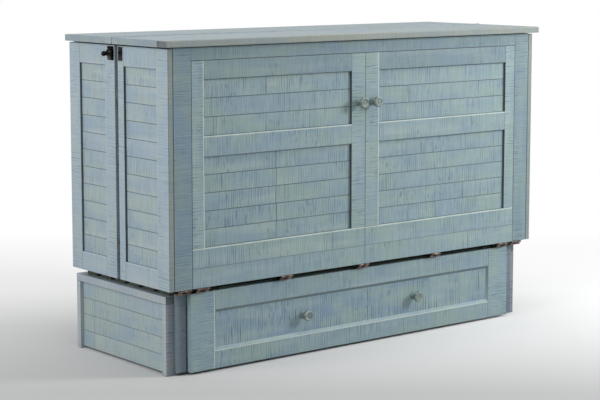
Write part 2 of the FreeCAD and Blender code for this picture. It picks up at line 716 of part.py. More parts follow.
# ---- Hinges of the half sides, let into the seam: a fixed and a moving leaf each.
hinge_levels = (
    "body_bottom + side_bottom_rail",
    f"body_bottom + {SIDE_HEIGHT} / 2",
    f"{SIDE_TOP} - 2 * side_top_rail - side_hinge_length",
)
knuckle = "(side_hinge_length / 3 - running_gap)"
half_gap = "(side_seam_gap / 2)"
leaf_depth = "(side_thickness - side_hinge_inset)"
fixed_leaves = []
for side, sign in SIDES:
    moving_leaves = []
    axis_x = f"{sign} * ({BODY_HALF} - side_hinge_inset)"
    leaf_x = f"-({BODY_HALF} - side_hinge_inset)" if sign < 0 else INNER_HALF
    for number, level in enumerate(hinge_levels, start=1):
        name = f"{side}_{number}"
        fixed = [box(f"side_fixed_plate_{name}", leaf_depth, "hinge_leaf", "side_hinge_length",
                     leaf_x, f"{SEAM} + {half_gap} - hinge_leaf", level)]
        for end, low in (("a", level), ("b", f"{level} + side_hinge_length - {knuckle}")):
            fixed.append(rod(f"side_fixed_knuckle_{name}{end}", "side_hinge_radius", knuckle,
                             axis_x, SEAM, low, UPRIGHT))
            fixed.append(box(f"side_fixed_web_{name}{end}", "hinge_leaf", half_gap, knuckle,
                             f"{axis_x} - hinge_leaf / 2 - {sign} * hinge_leaf / 2", SEAM, low))
        fixed_leaves.append(joined(f"side_hinge_fixed_{name}", fixed))
        low = f"{level} + side_hinge_length / 2 - {knuckle} / 2"
        moving_leaves.append(joined(f"side_hinge_moving_{name}", [
            box(f"side_moving_plate_{name}", leaf_depth, "hinge_leaf", "side_hinge_length",
                leaf_x, f"{SEAM} - {half_gap}", level),
            rod(f"side_moving_knuckle_{name}", "side_hinge_radius", knuckle, axis_x, SEAM,
                low, UPRIGHT),
            box(f"side_moving_web_{name}", "hinge_leaf", half_gap, knuckle,
                f"{axis_x} - hinge_leaf / 2 - {sign} * hinge_leaf / 2",
                f"{SEAM} - {half_gap}", low),
        ]))
    group(f"side_hinge_{side}", moving_leaves)
group("side_hinge_fixed", fixed_leaves)

# ---- Long hinge of the lid, sunk in the lid's seam with its knuckles on the top face.
KNUCKLES = 9
lid_knuckle = f"(lid_width / {KNUCKLES} - running_gap)"
lid_axis = "(overall_height + lid_hinge_rise)"
leaf_top = "(overall_height - lid_hinge_radius)"
leaf_height = f"({leaf_top} - {LID_UNDER} - lid_hinge_leaf)"
leaf_y = (f"{SEAM} + lid_seam_gap / 2 - lid_hinge_leaf", f"{SEAM} - lid_seam_gap / 2")
for number, name in enumerate(("lid_hinge_fixed", "lid_hinge_moving")):
    pieces = [box(name + "_leaf", "lid_width", "lid_hinge_leaf", leaf_height,
                  "-lid_width / 2", leaf_y[number], f"{LID_UNDER} + lid_hinge_leaf")]
    for position in range(number, KNUCKLES, 2):
        start = f"-lid_width / 2 + {position} * lid_width / {KNUCKLES} + running_gap / 2"
        pieces.append(rod(f"{name}_knuckle_{position}", "lid_hinge_radius", lid_knuckle,
                          start, SEAM, lid_axis))
        pieces.append(box(f"{name}_web_{position}", lid_knuckle, "lid_hinge_leaf",
                          f"{lid_axis} - {leaf_top}", start, leaf_y[number], leaf_top))
    keep(joined(name, pieces))

# ---- Latches at the top of the side seams: case, turning lever with a round knob, strike.
case_y = f"({SEAM} + {half_gap} + latch_setback / 3)"
hub_y = f"({case_y} + latch_case_width / 2)"
hub_start = f"({BODY_HALF} + latch_case_proud + running_gap)"
cases = []
for side, sign in SIDES:
    outward = FreeCAD.Rotation(Vector(0, 1, 0), 90 * sign)
    blank = box(f"latch_blank_{side}", "latch_case_proud", "latch_case_width",
                "latch_case_height",
                f"-({BODY_HALF} + latch_case_proud)" if sign < 0 else BODY_HALF,
                case_y, f"{LATCH_Z} - latch_case_height / 2")
    doc.recompute()
    outer_face = sign * (body_half_mm + mm("latch_case_proud"))
    edges = []
    for number, edge in enumerate(blank.Shape.Edges, start=1):
        if all(abs(vertex.X - outer_face) < 0.01 for vertex in edge.Vertexes):
            edges.append((number, mm("latch_case_proud") / 4, mm("latch_case_proud") / 4))
    case = doc.addObject("Part::Fillet", f"latch_case_{side}")
    case.Base = blank
    case.Edges = edges
    cases.append(case)
    arm = "(latch_case_proud / 4)"
    keep(joined(f"latch_lever_{side}", [
        rod(f"latch_hub_{side}", "latch_case_width / 4", arm, f"{sign} * {hub_start}",
            hub_y, LATCH_Z, outward),
        box(f"latch_arm_{side}", arm, f"{hub_y} - {case_y}", "latch_knob_radius",
            f"-({hub_start} + {arm})" if sign < 0 else hub_start,
            case_y, f"{LATCH_Z} - latch_knob_radius / 2"),
        rod(f"latch_stem_{side}", "latch_knob_radius / 2", "latch_case_proud",
            f"{sign} * {hub_start}", hub_y, LATCH_Z, outward),
        rod(f"latch_knob_{side}", "latch_knob_radius", "latch_knob_radius * 2",
            f"{sign} * ({hub_start} + latch_case_proud - 2)", hub_y, LATCH_Z, outward),
    ]))
    keep(box(f"latch_strike_{side}", "hinge_leaf", "strike_width", "latch_case_height",
             f"-({BODY_HALF} + hinge_leaf)" if sign < 0 else BODY_HALF,
             f"{SEAM} - {half_gap} - latch_setback / 2 - strike_width",
             f"{LATCH_Z} - latch_case_height / 2"))
group("latch_cases", cases)

# ---- Casters under the carriage: sheet forks with an axle, and a wheel on each.
cheek_height = "(2 * wheel_radius + fork_sheet - wheel_radius / 2)"
cheek_gap = "(wheel_width + 4 * running_gap)"
forks = []
for side, sign in SIDES:
    low_x = f"{sign} * {WHEEL_X}"
    reach = f"({CARRIAGE_INNER} - {WHEEL_X} + {cheek_gap} / 2 + fork_sheet)"
    top_x = (f"-{CARRIAGE_INNER}" if sign < 0
             else f"{WHEEL_X} - {cheek_gap} / 2 - fork_sheet")
    fork_y = f"{LID_FRONT} + wheel_depth"
    pieces = [box(f"fork_top_{side}", reach, "wheel_radius * 1.5", "fork_sheet", top_x,
                  f"{fork_y} - wheel_radius * 0.75", "2 * wheel_radius + fork_sheet")]
    for end, shift in (("a", f"-{cheek_gap} / 2 - fork_sheet"), ("b", f"{cheek_gap} / 2")):
        pieces.append(box(f"fork_cheek_{side}{end}", "fork_sheet", "wheel_radius", cheek_height,
                          f"{low_x} + {shift}", f"{fork_y} - wheel_radius / 2",
                          "wheel_radius / 2 + fork_sheet"))
    pieces.append(rod(f"fork_axle_{side}", "axle_radius", f"{cheek_gap} + fork_sheet",
                      f"{low_x} - {cheek_gap} / 2 - fork_sheet / 2", fork_y, "wheel_radius"))
    forks.append(joined(f"caster_fork_{side}", pieces))
    tread = rod(f"wheel_tread_{side}", "wheel_radius", "wheel_width",
                f"{low_x} - wheel_width / 2", fork_y, "wheel_radius")
    bore = rod(f"wheel_bore_{side}", "axle_radius + running_gap", "wheel_width + 2",
               f"{low_x} - wheel_width / 2 - 1", fork_y, "wheel_radius")
    wheel = doc.addObject("Part::Cut", f"caster_wheel_{side}")
    wheel.Base = tread
    wheel.Tool = bore
    keep(wheel)
group("caster_forks", forks)

doc.recompute()
for item in doc.Objects:
    if "Invalid" in item.State or "Error" in item.State:
        raise SystemExit(f"{item.Label} did not build: {item.State}")
os.makedirs("parts", exist_ok=True)
for piece in nodes:
    if piece.Shape.isNull() or not piece.Shape.isValid():
        raise SystemExit(f"{piece.Label} has no valid shape")
for piece in nodes:
    piece.Shape.exportStep(f"parts/{piece.Label}.step")
print(len(nodes), "nodes written")
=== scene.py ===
import math
import random
import bmesh
import bpy
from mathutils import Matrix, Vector


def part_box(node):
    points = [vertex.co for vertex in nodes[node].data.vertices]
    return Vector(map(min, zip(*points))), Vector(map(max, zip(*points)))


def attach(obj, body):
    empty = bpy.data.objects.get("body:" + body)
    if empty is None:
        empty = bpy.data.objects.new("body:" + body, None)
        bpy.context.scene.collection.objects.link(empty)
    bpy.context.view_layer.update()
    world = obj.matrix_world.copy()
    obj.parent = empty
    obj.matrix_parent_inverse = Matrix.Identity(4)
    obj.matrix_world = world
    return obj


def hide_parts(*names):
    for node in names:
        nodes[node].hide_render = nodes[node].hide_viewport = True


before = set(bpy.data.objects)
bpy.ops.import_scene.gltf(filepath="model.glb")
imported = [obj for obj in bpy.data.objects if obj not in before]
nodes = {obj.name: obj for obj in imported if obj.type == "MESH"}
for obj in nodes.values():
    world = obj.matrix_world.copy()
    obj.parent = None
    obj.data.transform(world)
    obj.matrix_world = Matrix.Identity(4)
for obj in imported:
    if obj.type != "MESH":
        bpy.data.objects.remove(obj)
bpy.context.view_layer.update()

scene = bpy.context.scene

# ---- The studio -------------------------------------------------------------------------
# A pale floor whose colour, seen from the camera, runs from grey in front to white behind the
# bed as painted light falloff, soft lamps on the right, on the left and overhead, and a camera
# that looks slightly down at the cabinet's left front corner.
MM = 0.001
FRAME_WIDTH = 600
LENS_DROP = 40
CAMERA_PLACE = (-3.910, -4.772, 1.388)
CAMERA_TURN = math.radians(-38.87)
CAMERA_DIP = math.radians(6.94)
LENS = 101.92
VIEW_MIDDLE = Vector((0, 0, 0.55))

camera = bpy.data.objects.new("camera", bpy.data.cameras.new("camera"))
camera.location = CAMERA_PLACE
camera.rotation_euler = (math.radians(90) - CAMERA_DIP, 0, CAMERA_TURN)
camera.data.lens = LENS
camera.data.shift_y = -LENS_DROP / FRAME_WIDTH
camera.data.clip_end = 100
scene.collection.objects.link(camera)
scene.camera = camera
scene.view_settings.view_transform = "Standard"


def lamp(name, place, size, watts):
    """Square soft lamp aimed at the middle of the cabinet."""
    light = bpy.data.lights.new(name, "AREA")
    light.size = size
    light.energy = watts
    holder = bpy.data.objects.new(name, light)
    holder.location = place
    holder.rotation_euler = (VIEW_MIDDLE - Vector(place)).to_track_quat("-Z", "Y").to_euler()
    scene.collection.objects.link(holder)


lamp("lamp_right", (2.5, -2.3, 1.9), 0.9, 75)
lamp("lamp_left", (-4.4, 0.1, 2.2), 2.6, 96)
lamp("lamp_above", (-0.2, -0.9, 4.2), 3.2, 62)


def put(tree, kind, feeds=None, **options):
    """Add a node, set its options, and feed its sockets from other nodes or with plain values."""
    made = tree.nodes.new(kind)
    for option, value in options.items():
        setattr(made, option, value)
    for socket, value in (feeds or {}).items():
        if isinstance(value, bpy.types.NodeSocket):
            tree.links.new(value, made.inputs[socket])
        else:
            made.inputs[socket].default_value = value
    return made


def colour(red, green, blue):
    """Screen colour from 0 to 255 as the linear colour that a socket takes."""
    linear = [((part / 255 + 0.055) / 1.055) ** 2.4 for part in (red, green, blue)]
    return (*linear, 1.0)


def take(tree, kind, feeds=None, **options):
    """Add a node as put does, and give its first output."""
    return put(tree, kind, feeds, **options).outputs[0]


def calc(tree, operation, *values):
    """Result of one Math node."""
    return take(tree, "ShaderNodeMath", dict(enumerate(values)), operation=operation)


def times(tree, first, second):
    """Product of two numbers."""
    return calc(tree, "MULTIPLY", first, second)


def mixed(tree, share, first, second):
    """Mix of two colours."""
    feeds = {0: share, 6: first, 7: second}
    return put(tree, "ShaderNodeMix", feeds, data_type="RGBA").outputs[2]


def new_material(name):
    """Material with an empty node tree, and that tree."""
    material = bpy.data.materials.new(name)
    material.use_nodes = True
    material.node_tree.nodes.clear()
    return material, material.node_tree


WHITE = (1, 1, 1, 1)
AMBIENT = 0.36
FLOOR_GREY = colour(188, 188, 188)
PAPER_NEAR, PAPER_FAR = -0.9, 0.75
GLOW_NEAR, GLOW_FAR = 0.1, 2.2
ROUND_NEAR, ROUND_FAR = 2.4, 5.0


def seen_straight(tree):
    """1 for rays from the camera, in a mirror or through glass, and 0 for rays of light."""
    path = put(tree, "ShaderNodeLightPath").outputs
    mirrored = calc(tree, "MAXIMUM", path["Is Camera Ray"], path["Is Glossy Ray"])
    return calc(tree, "MAXIMUM", mirrored, path["Is Transmission Ray"])


world = bpy.data.worlds.new("studio")
world.use_nodes = True
scene.world = world
sky = world.node_tree
sky.nodes.clear()
ambient = take(sky, "ShaderNodeBackground", {"Color": WHITE, "Strength": AMBIENT})
backdrop = take(sky, "ShaderNodeBackground", {"Color": WHITE, "Strength": 1.0})
sky_mix = take(sky, "ShaderNodeMixShader", {0: seen_straight(sky), 1: ambient, 2: backdrop})
put(sky, "ShaderNodeOutputWorld", {"Surface": sky_mix})

floor_material, paper = new_material("studio_floor")
floor_place = put(paper, "ShaderNodeTexCoord").outputs["Object"]
away = (-math.sin(CAMERA_TURN), math.cos(CAMERA_TURN), 0)
distance = put(paper, "ShaderNodeVectorMath",
               {0: floor_place, 1: away}, operation="DOT_PRODUCT").outputs["Value"]
radius = put(paper, "ShaderNodeVectorMath", {0: floor_place}, operation="LENGTH").outputs["Value"]
seen = seen_straight(paper)
shares = []
for measure, near, far in ((distance, PAPER_NEAR, PAPER_FAR), (distance, GLOW_NEAR, GLOW_FAR),
                           (radius, ROUND_NEAR, ROUND_FAR)):
    share = take(paper, "ShaderNodeMapRange", {0: measure, 1: near, 2: far, 3: 0.0, 4: 1.0})
    shares.append(times(paper, share, seen))
# Painted light falloff: seen from the camera, the floor's colour runs from grey to white.
paper_colour = mixed(paper, shares[0], FLOOR_GREY, WHITE)
paper_face = take(paper, "ShaderNodeBsdfDiffuse", {"Color": paper_colour})
paper_white = take(paper, "ShaderNodeEmission", {"Color": WHITE, "Strength": 1.0})
glow = calc(paper, "MAXIMUM", shares[1], shares[2])
floor_mix = take(paper, "ShaderNodeMixShader", {0: glow, 1: paper_face, 2: paper_white})
put(paper, "ShaderNodeOutputMaterial", {"Surface": floor_mix})

FLOOR_HALF = 20
FLOOR_DROP = 0.4 * MM
floor_mesh = bpy.data.meshes.new("floor")
floor_mesh.from_pydata(
    [(x * FLOOR_HALF, y * FLOOR_HALF, -FLOOR_DROP)
     for x, y in ((-1, -1), (1, -1), (1, 1), (-1, 1))], [], [(0, 1, 2, 3)])
floor = bpy.data.objects.new("floor", floor_mesh)
floor_mesh.materials.append(floor_material)
scene.collection.objects.link(floor)

# ---- The lid ----------------------------------------------------------------------------
# Two halves of edge-glued boards that meet at the middle seam, the front one lipped with a
# rounded strip. Every board here is rough-sawn hardwood under a thin blue-grey milk paint:
# saw marks cross it, colour drifts along it, and its arrises are worn back to pale wood. The
# pale line on one long edge, turned toward the light, is partly painted highlight.


def spread(tree, value, low, high, to_low=0.0, to_high=1.0):
    """Smooth step of a value between two levels."""
    return take(tree, "ShaderNodeMapRange",
                {0: value, 1: low, 2: high, 3: to_low, 4: to_high}, interpolation_type="SMOOTHSTEP")


def vector_calc(tree, operation, *values):
    """Result of one Vector Math node."""
    return take(tree, "ShaderNodeVectorMath", dict(enumerate(values)), operation=operation)


def parted(tree, vector):
    """The x, y and z of a vector."""
    return put(tree, "ShaderNodeSeparateXYZ", {0: vector}).outputs


def grown(tree, place, scales, detail=2.0, roughness=0.5):
    """Noise over a place that is stretched by three scales, per metre."""
    return put(tree, "ShaderNodeTexNoise", {
        "Vector": vector_calc(tree, "MULTIPLY", place, scales), "Scale": 1.0, "Detail": detail,
        "Roughness": roughness}).outputs["Fac"]


def new_group(kind, name, inputs, outputs):
    """Empty node group with named sockets, and its inside ends of those sockets."""
    group = bpy.data.node_groups.new(name, kind)
    for in_out, sockets in (("INPUT", inputs), ("OUTPUT", outputs)):
        for socket, value_kind in sockets:
            group.interface.new_socket(socket, in_out=in_out, socket_type="NodeSocket" + value_kind)
    given = group.nodes.new("NodeGroupInput").outputs
    return group, given, group.nodes.new("NodeGroupOutput").inputs


def finish_tree(tree, strength, depth, height, feeds):
    """End a material in a Principled surface with a bump."""
    bump = take(tree, "ShaderNodeBump", {"Strength": strength, "Distance": depth, "Height": height})
    surface = take(tree, "ShaderNodeBsdfPrincipled", {**feeds, "Normal": bump})
    put(tree, "ShaderNodeOutputMaterial", {"Surface": surface})


SAW_PITCH = 9.5 * MM


def sawn_paint_group():
    """Thin paint on a sawn board: drifting colour, saw marks across the board, fine grain."""
    group, given, out = new_group(
        "ShaderNodeTree", "sawn_paint",
        (("At", "Vector"), ("Seed", "Float"), ("Blue", "Color"), ("Green", "Color"),
         ("Pale", "Color"), ("Deep", "Color"), ("Marks", "Float")),
        (("Color", "Color"), ("Roughness", "Float"), ("Height", "Float")))
    own_start = vector_calc(group, "MULTIPLY", (7.3, 3.1, 1.7), given["Seed"])
    at = vector_calc(group, "ADD", given["At"], own_start)
    patches = spread(group, grown(group, at, (6, 13, 13), 4.0, 0.65), 0.36, 0.64)
    washes = spread(group, grown(group, at, (2.0, 16, 16), 2.0), 0.50, 0.72)
    board = put(group, "ShaderNodeTexWhiteNoise",
                {"W": given["Seed"]}, noise_dimensions="1D").outputs["Value"]
    tone = mixed(group, patches, given["Blue"], given["Green"])
    tone = mixed(group, times(group, washes, 0.38), tone, given["Pale"])
    tone = mixed(group, times(group, board, 0.22), tone, given["Green"])
    # Marks of the saw: an even hatch right across the board, deeper in clusters.
    along = times(group, parted(group, at)[0], math.tau / SAW_PITCH)
    drift = grown(group, at, (40, 4, 4), 3.0)
    lines = calc(group, "SINE", calc(group, "MULTIPLY_ADD", drift, 15.0, along))
    strength = spread(group, grown(group, at, (110, 9, 9), 2.0), 0.36, 0.62, 0.12, 1.0)
    lines = times(group, spread(group, lines, 0.0, 0.95), strength)
    clusters = spread(group, grown(group, at, (9, 12, 12), 3.0), 0.42, 0.62)
    dashes = spread(group, grown(group, at, (190, 30, 30), 2.0), 0.60, 0.70)
    dash_clusters = spread(group, grown(group, at, (5, 9, 9), 1.0), 0.50, 0.62)
    faint = spread(group, grown(group, at, (480, 6, 6), 1.0), 0.42, 0.66)
    cut = times(group, lines, calc(group, "MULTIPLY_ADD", clusters, 0.72, 0.28))
    cut = calc(group, "MAXIMUM", cut, times(group, dashes, dash_clusters))
    cut = times(group, cut, given["Marks"])
    tone = mixed(group, times(group, cut, 0.62), tone, given["Deep"])
    tone = mixed(group, times(group, faint, 0.15), tone, given["Deep"])
    # Rubbed crests between the marks, and fine grain along the board.
    crests = spread(group, grown(group, at, (240, 16, 16), 2.0), 0.56, 0.72)
    tone = mixed(group, times(group, crests, 0.32), tone, given["Pale"])
    grain = grown(group, at, (5, 260, 260), 2.0)
    tone = mixed(group, spread(group, grain, 0.50, 0.80, 0.0, 0.10), tone, given["Deep"])
    group.links.new(tone, out["Color"])
    group.links.new(calc(group, "MULTIPLY_ADD", grain, 0.25, 0.42), out["Roughness"])
    height = calc(group, "MULTIPLY_ADD", cut, -1.0, times(group, grain, 0.35))
    height = calc(group, "MULTIPLY_ADD", faint, -0.35, height)
    group.links.new(height, out["Height"])
    return group


def board_edge_group():
    """Masks near a board's own arrises: a pale lit edge that is partly painted highlight, dirt and
    painted shade in the joints, dark butt ends.
    """
    group, given, out = new_group(
        "ShaderNodeTree", "board_edges",
        (("At", "Vector"), ("Half", "Vector"), ("Seed", "Float"), ("Worn side", "Float"),
         ("Width", "Float")),
        (("Rubbed", "Float"), ("Bared", "Float"), ("Joint", "Float"), ("End", "Float")))
    inside = vector_calc(group, "ABSOLUTE", given["At"])
    parts = parted(group, vector_calc(group, "SUBTRACT", given["Half"], inside))
    arris = calc(group, "MAXIMUM", parts[1], parts[2])
    shifted = vector_calc(group, "ADD", given["At"], given["Seed"])
    broken = grown(group, shifted, (55, 60, 60), 3.0, 0.6)
    reach = times(group, calc(group, "MULTIPLY_ADD", broken, 0.9, 0.55), given["Width"])
    reach = calc(group, "MAXIMUM", reach, 1e-5)
    rubbed_and_lit = calc(group, "SUBTRACT", 1.0, calc(group, "DIVIDE", arris, reach))
    side = times(group, parted(group, given["At"])[1], given["Worn side"])
    lit_worn_side = take(group, "ShaderNodeClamp", {0: times(group, side, 1e4)})
    off_lit_worn_side = calc(group, "SUBTRACT", 1.0, lit_worn_side)
    rubbed_and_lit = times(group, spread(group, rubbed_and_lit, 0.0, 0.35), lit_worn_side)
    group.links.new(rubbed_and_lit, out["Rubbed"])
    scarce = spread(group, grown(group, shifted, (16, 30, 30), 2.0), 0.54, 0.62)
    group.links.new(
        times(group, spread(group, arris, 0.2 * MM, 1.3 * MM, 1.0, 0.0), scarce), out["Bared"])
    joint = times(group, spread(group, arris, 0.3 * MM, 2.0 * MM, 1.0, 0.0), off_lit_worn_side)
    group.links.new(joint, out["Joint"])
    group.links.new(spread(group, parts[0], 0.2 * MM, 1.4 * MM, 1.0, 0.0), out["End"])
    return group


SAWN_PAINT = sawn_paint_group()
BOARD_EDGES = board_edge_group()
BLUE = (137, 160, 173)
GREEN = (146, 168, 165)
PALE = (176, 190, 187)
DEEP = (76, 104, 124)
RUBBED_AND_LIT = (198, 210, 204)
BARED = (118, 92, 70)
GRIME_AND_SHADE = (52, 66, 70)
SHADED = (44, 56, 60)


def sawn_paint(name, blue=BLUE, green=GREEN, pale=PALE, deep=DEEP, rubbed_and_lit=RUBBED_AND_LIT,
               marks=1.0, rub_and_highlight=0.75, rub_and_highlight_width=4.5 * MM, joint=0.0, end=0.55, bared=0.7):
    """Painted board material. It reads the board's own axes, size and seed from its mesh."""
    material, tree = new_material(name)
    at, half, seed, worn, shade = (
        put(tree, "ShaderNodeAttribute", attribute_name="board_" + attribute)
        for attribute in ("at", "half", "seed", "lit_worn_side", "shade"))
    paint = put(tree, "ShaderNodeGroup", {
        "At": at.outputs["Vector"], "Seed": seed.outputs["Fac"], "Blue": colour(*blue),
        "Green": colour(*green), "Pale": colour(*pale), "Deep": colour(*deep), "Marks": marks},
        node_tree=SAWN_PAINT)
    edges = put(tree, "ShaderNodeGroup", {
        "At": at.outputs["Vector"], "Half": half.outputs["Vector"], "Seed": seed.outputs["Fac"],
        "Worn side": worn.outputs["Fac"], "Width": rub_and_highlight_width}, node_tree=BOARD_EDGES)
    # Painted shade: the shade attribute darkens narrow inner faces toward a near-black blue-grey.
    dark = times(tree, shade.outputs["Fac"], 0.82)
    tone = mixed(tree, dark, paint.outputs["Color"], colour(*SHADED))
    # Painted shade and dirt darken joints and ends; the pale lit edge is partly painted highlight.
    for mask, amount, stain in (("Joint", joint, GRIME_AND_SHADE), ("End", end, GRIME_AND_SHADE),
                                ("Rubbed", rub_and_highlight, rubbed_and_lit), ("Bared", bared, BARED)):
        tone = mixed(tree, times(tree, edges.outputs[mask], amount), tone, colour(*stain))
    finish_tree(tree, 0.5, 0.5 * MM, paint.outputs["Height"], {
        "Base Color": tone, "Roughness": paint.outputs["Roughness"], "Specular IOR Level": 0.35})
    return material


chance = random.Random(4)
FACE_SLACK = 0.05 * MM
AXES = {"x": 0, "y": 1, "z": 2}


def new_timber():
    """Empty mesh whose points can hold a board's own axes, half size and seed."""
    boards = bmesh.new()
    boards.verts.layers.float_vector.new("board_at")
    boards.verts.layers.float_vector.new("board_half")
    for name in ("board_seed", "board_lit_worn_side", "board_shade"):
        boards.verts.layers.float.new(name)
    return boards


def add_block(mesh, low, high, ease, **bevel):
    """Add a block between two corners, with its arrises eased."""
    corners = bmesh.ops.create_cube(mesh, size=1.0)["verts"]
    for corner in corners:
        corner.co = (low + high) / 2 + corner.co * (high - low)
    edges = list({edge for corner in corners for edge in corner.link_edges})
    bmesh.ops.bevel(mesh, geom=edges, offset=ease, affect="EDGES", **bevel)


def plank(boards, low, high, along, ease=1.0 * MM, lit_worn_side=0, shaded_side=0):
    """Add one board between two corners, with its arrises eased.

    The lit worn side, 1 or -1, picks the long edge, upper or lower along the board's width, whose
    paint is worn pale, partly as painted highlight; shaded_side picks the narrow face that takes
    painted shade."""
    low, high = Vector(low), Vector(high)
    size = high - low
    centre = (low + high) / 2
    at = boards.verts.layers.float_vector["board_at"]
    half = boards.verts.layers.float_vector["board_half"]
    seed, worn, shade = (boards.verts.layers.float["board_" + name]
                         for name in ("seed", "lit_worn_side", "shade"))
    add_block(boards, low, high, ease, segments=2, profile=0.6)
    length_axis = AXES[along]
    across, through = sorted((axis for axis in range(3) if axis != length_axis),
                             key=lambda axis: -size[axis])
    own = chance.uniform(0.5, 9.5)
    for point in boards.verts:
        if point[seed] == 0.0:
            away = point.co - centre
            point[at] = (away[length_axis], away[across], away[through])
            point[half] = Vector((size[length_axis], size[across], size[through])) / 2
            point[seed] = own
            point[worn] = lit_worn_side
            on_face = away[across] * shaded_side > size[across] / 2 - FACE_SLACK
            point[shade] = 1.0 if on_face else 0.0


def piece_from(mesh, name, material, body, slot, *replaced):
    """Make a mesh into a piece with its finish, on its body, in place of CAD nodes."""
    piece = bpy.data.objects.new(name, mesh)
    if material.name not in mesh.materials:
        mesh.materials.clear()
        mesh.materials.append(material)
    scene.collection.objects.link(piece)
    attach(piece, body)
    if replaced:
        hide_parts(*replaced)
    return piece


def mesh_of(shape, name):
    """Plain mesh of a bmesh."""
    mesh = bpy.data.meshes.new(name)
    shape.to_mesh(mesh)
    shape.free()
    return mesh


def timber_piece(boards, name, material, body, *replaced):
    """Finish a mesh of boards as one painted piece."""
    return piece_from(mesh_of(boards, name), name, material, body, "painted_wood", *replaced)


def finish_where(piece, material, chosen):
    """Give the chosen faces of a piece a second finish."""
    piece.data.materials.append(material)
    for face in piece.data.polygons:
        if chosen(face):
            face.material_index = 1


def moved_to(corner, **axes):
    """A corner with some of its coordinates replaced."""
    moved = Vector(corner)
    for axis, value in axes.items():
        moved[AXES[axis]] = value
    return moved


lid_paint = sawn_paint(
    "lid_paint", blue=(137, 150, 161), green=(145, 159, 159), pale=(164, 172, 172),
    deep=(106, 124, 140), marks=0.4, end=0.0, bared=0.15)
lid_edge_paint = sawn_paint(
    "lid_edge_paint", blue=(136, 149, 151), green=(148, 155, 146), pale=(170, 171, 158),
    deep=(112, 113, 106), marks=0.5, bared=0.8, end=0.1)
LID_BOARDS = 3
CLOSE_EASE = 0.4 * MM
LIPPING_EASE = 3.0 * MM
for half_name, body in (("rear", "root"), ("front", "lid")):
    low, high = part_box(f"lid_{half_name}")
    boards = new_timber()
    width = (high.y - low.y) / LID_BOARDS
    for number in range(LID_BOARDS):
        start = low.y + number * width
        plank(boards, moved_to(low, y=start), moved_to(high, y=start + width), "x", CLOSE_EASE)
    timber_piece(boards, f"lid_boards_{half_name}", lid_paint, body, f"lid_{half_name}")

low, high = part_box("lid_edging")
boards = new_timber()
plank(boards, low, high, "x", LIPPING_EASE)
lipping = timber_piece(boards, "lid_lipping", lid_edge_paint, "lid", "lid_edging")
end_grain_paint = sawn_paint(
    "end_grain_paint", blue=(126, 134, 142), green=(142, 146, 148), pale=(160, 160, 158),
    deep=(84, 88, 96), marks=1.2)
finish_where(lipping, end_grain_paint, lambda face: abs(face.normal.x) > 0.7)

# ---- The half sides ---------------------------------------------------------------------
# Each side is two framed panels of solid wood, stiles running full height with the rails
# between them, and matched boards let in a finger's breadth behind the face.
side_paint = sawn_paint(
    "side_paint", blue=(154, 172, 186), green=(162, 177, 180), pale=(184, 190, 194),
    deep=(100, 122, 142), marks=0.85, rub_and_highlight=0.3, joint=0.5)


def window_frame(boards, outline, windows):
    """Stiles full height and rails between them around one row of windows.

    The panel stands upright along x or y. outline and windows are (low, high) corners."""
    low, high = outline
    run = "x" if high.x - low.x > high.y - low.y else "y"
    axis = AXES[run]
    first, last = windows[0][0][axis], windows[0][1][axis]
    # Pale lines partly painted highlight on the lit edges; painted shade on stile inner faces.
    plank(boards, low, moved_to(high, **{run: first}), "z", lit_worn_side=1, shaded_side=1)
    plank(boards, moved_to(low, **{run: last}), high, "z", shaded_side=-1)
    bottoms = [low.z] + [window[1].z for window in windows]
    tops = [window[0].z for window in windows] + [high.z]
    for bottom, top in zip(bottoms, tops):
        plank(boards, moved_to(low, z=bottom, **{run: first}),
              moved_to(high, z=top, **{run: last}), run, lit_worn_side=1 if top < high.z else 0)


def joined(tree, *parts):
    """Vector of three parts."""
    return take(tree, "ShaderNodeCombineXYZ", dict(enumerate(parts)))


def finish_shape(tree, shape, given, out):
    """End a Geometry Nodes tree in its shape with the given material."""
    done = take(tree, "GeometryNodeSetMaterial", {"Geometry": shape, "Material": given["Material"]})
    tree.links.new(done, out["Geometry"])


CUT_SPREAD = 0.015
SHORTEST_BOARD = 0.004


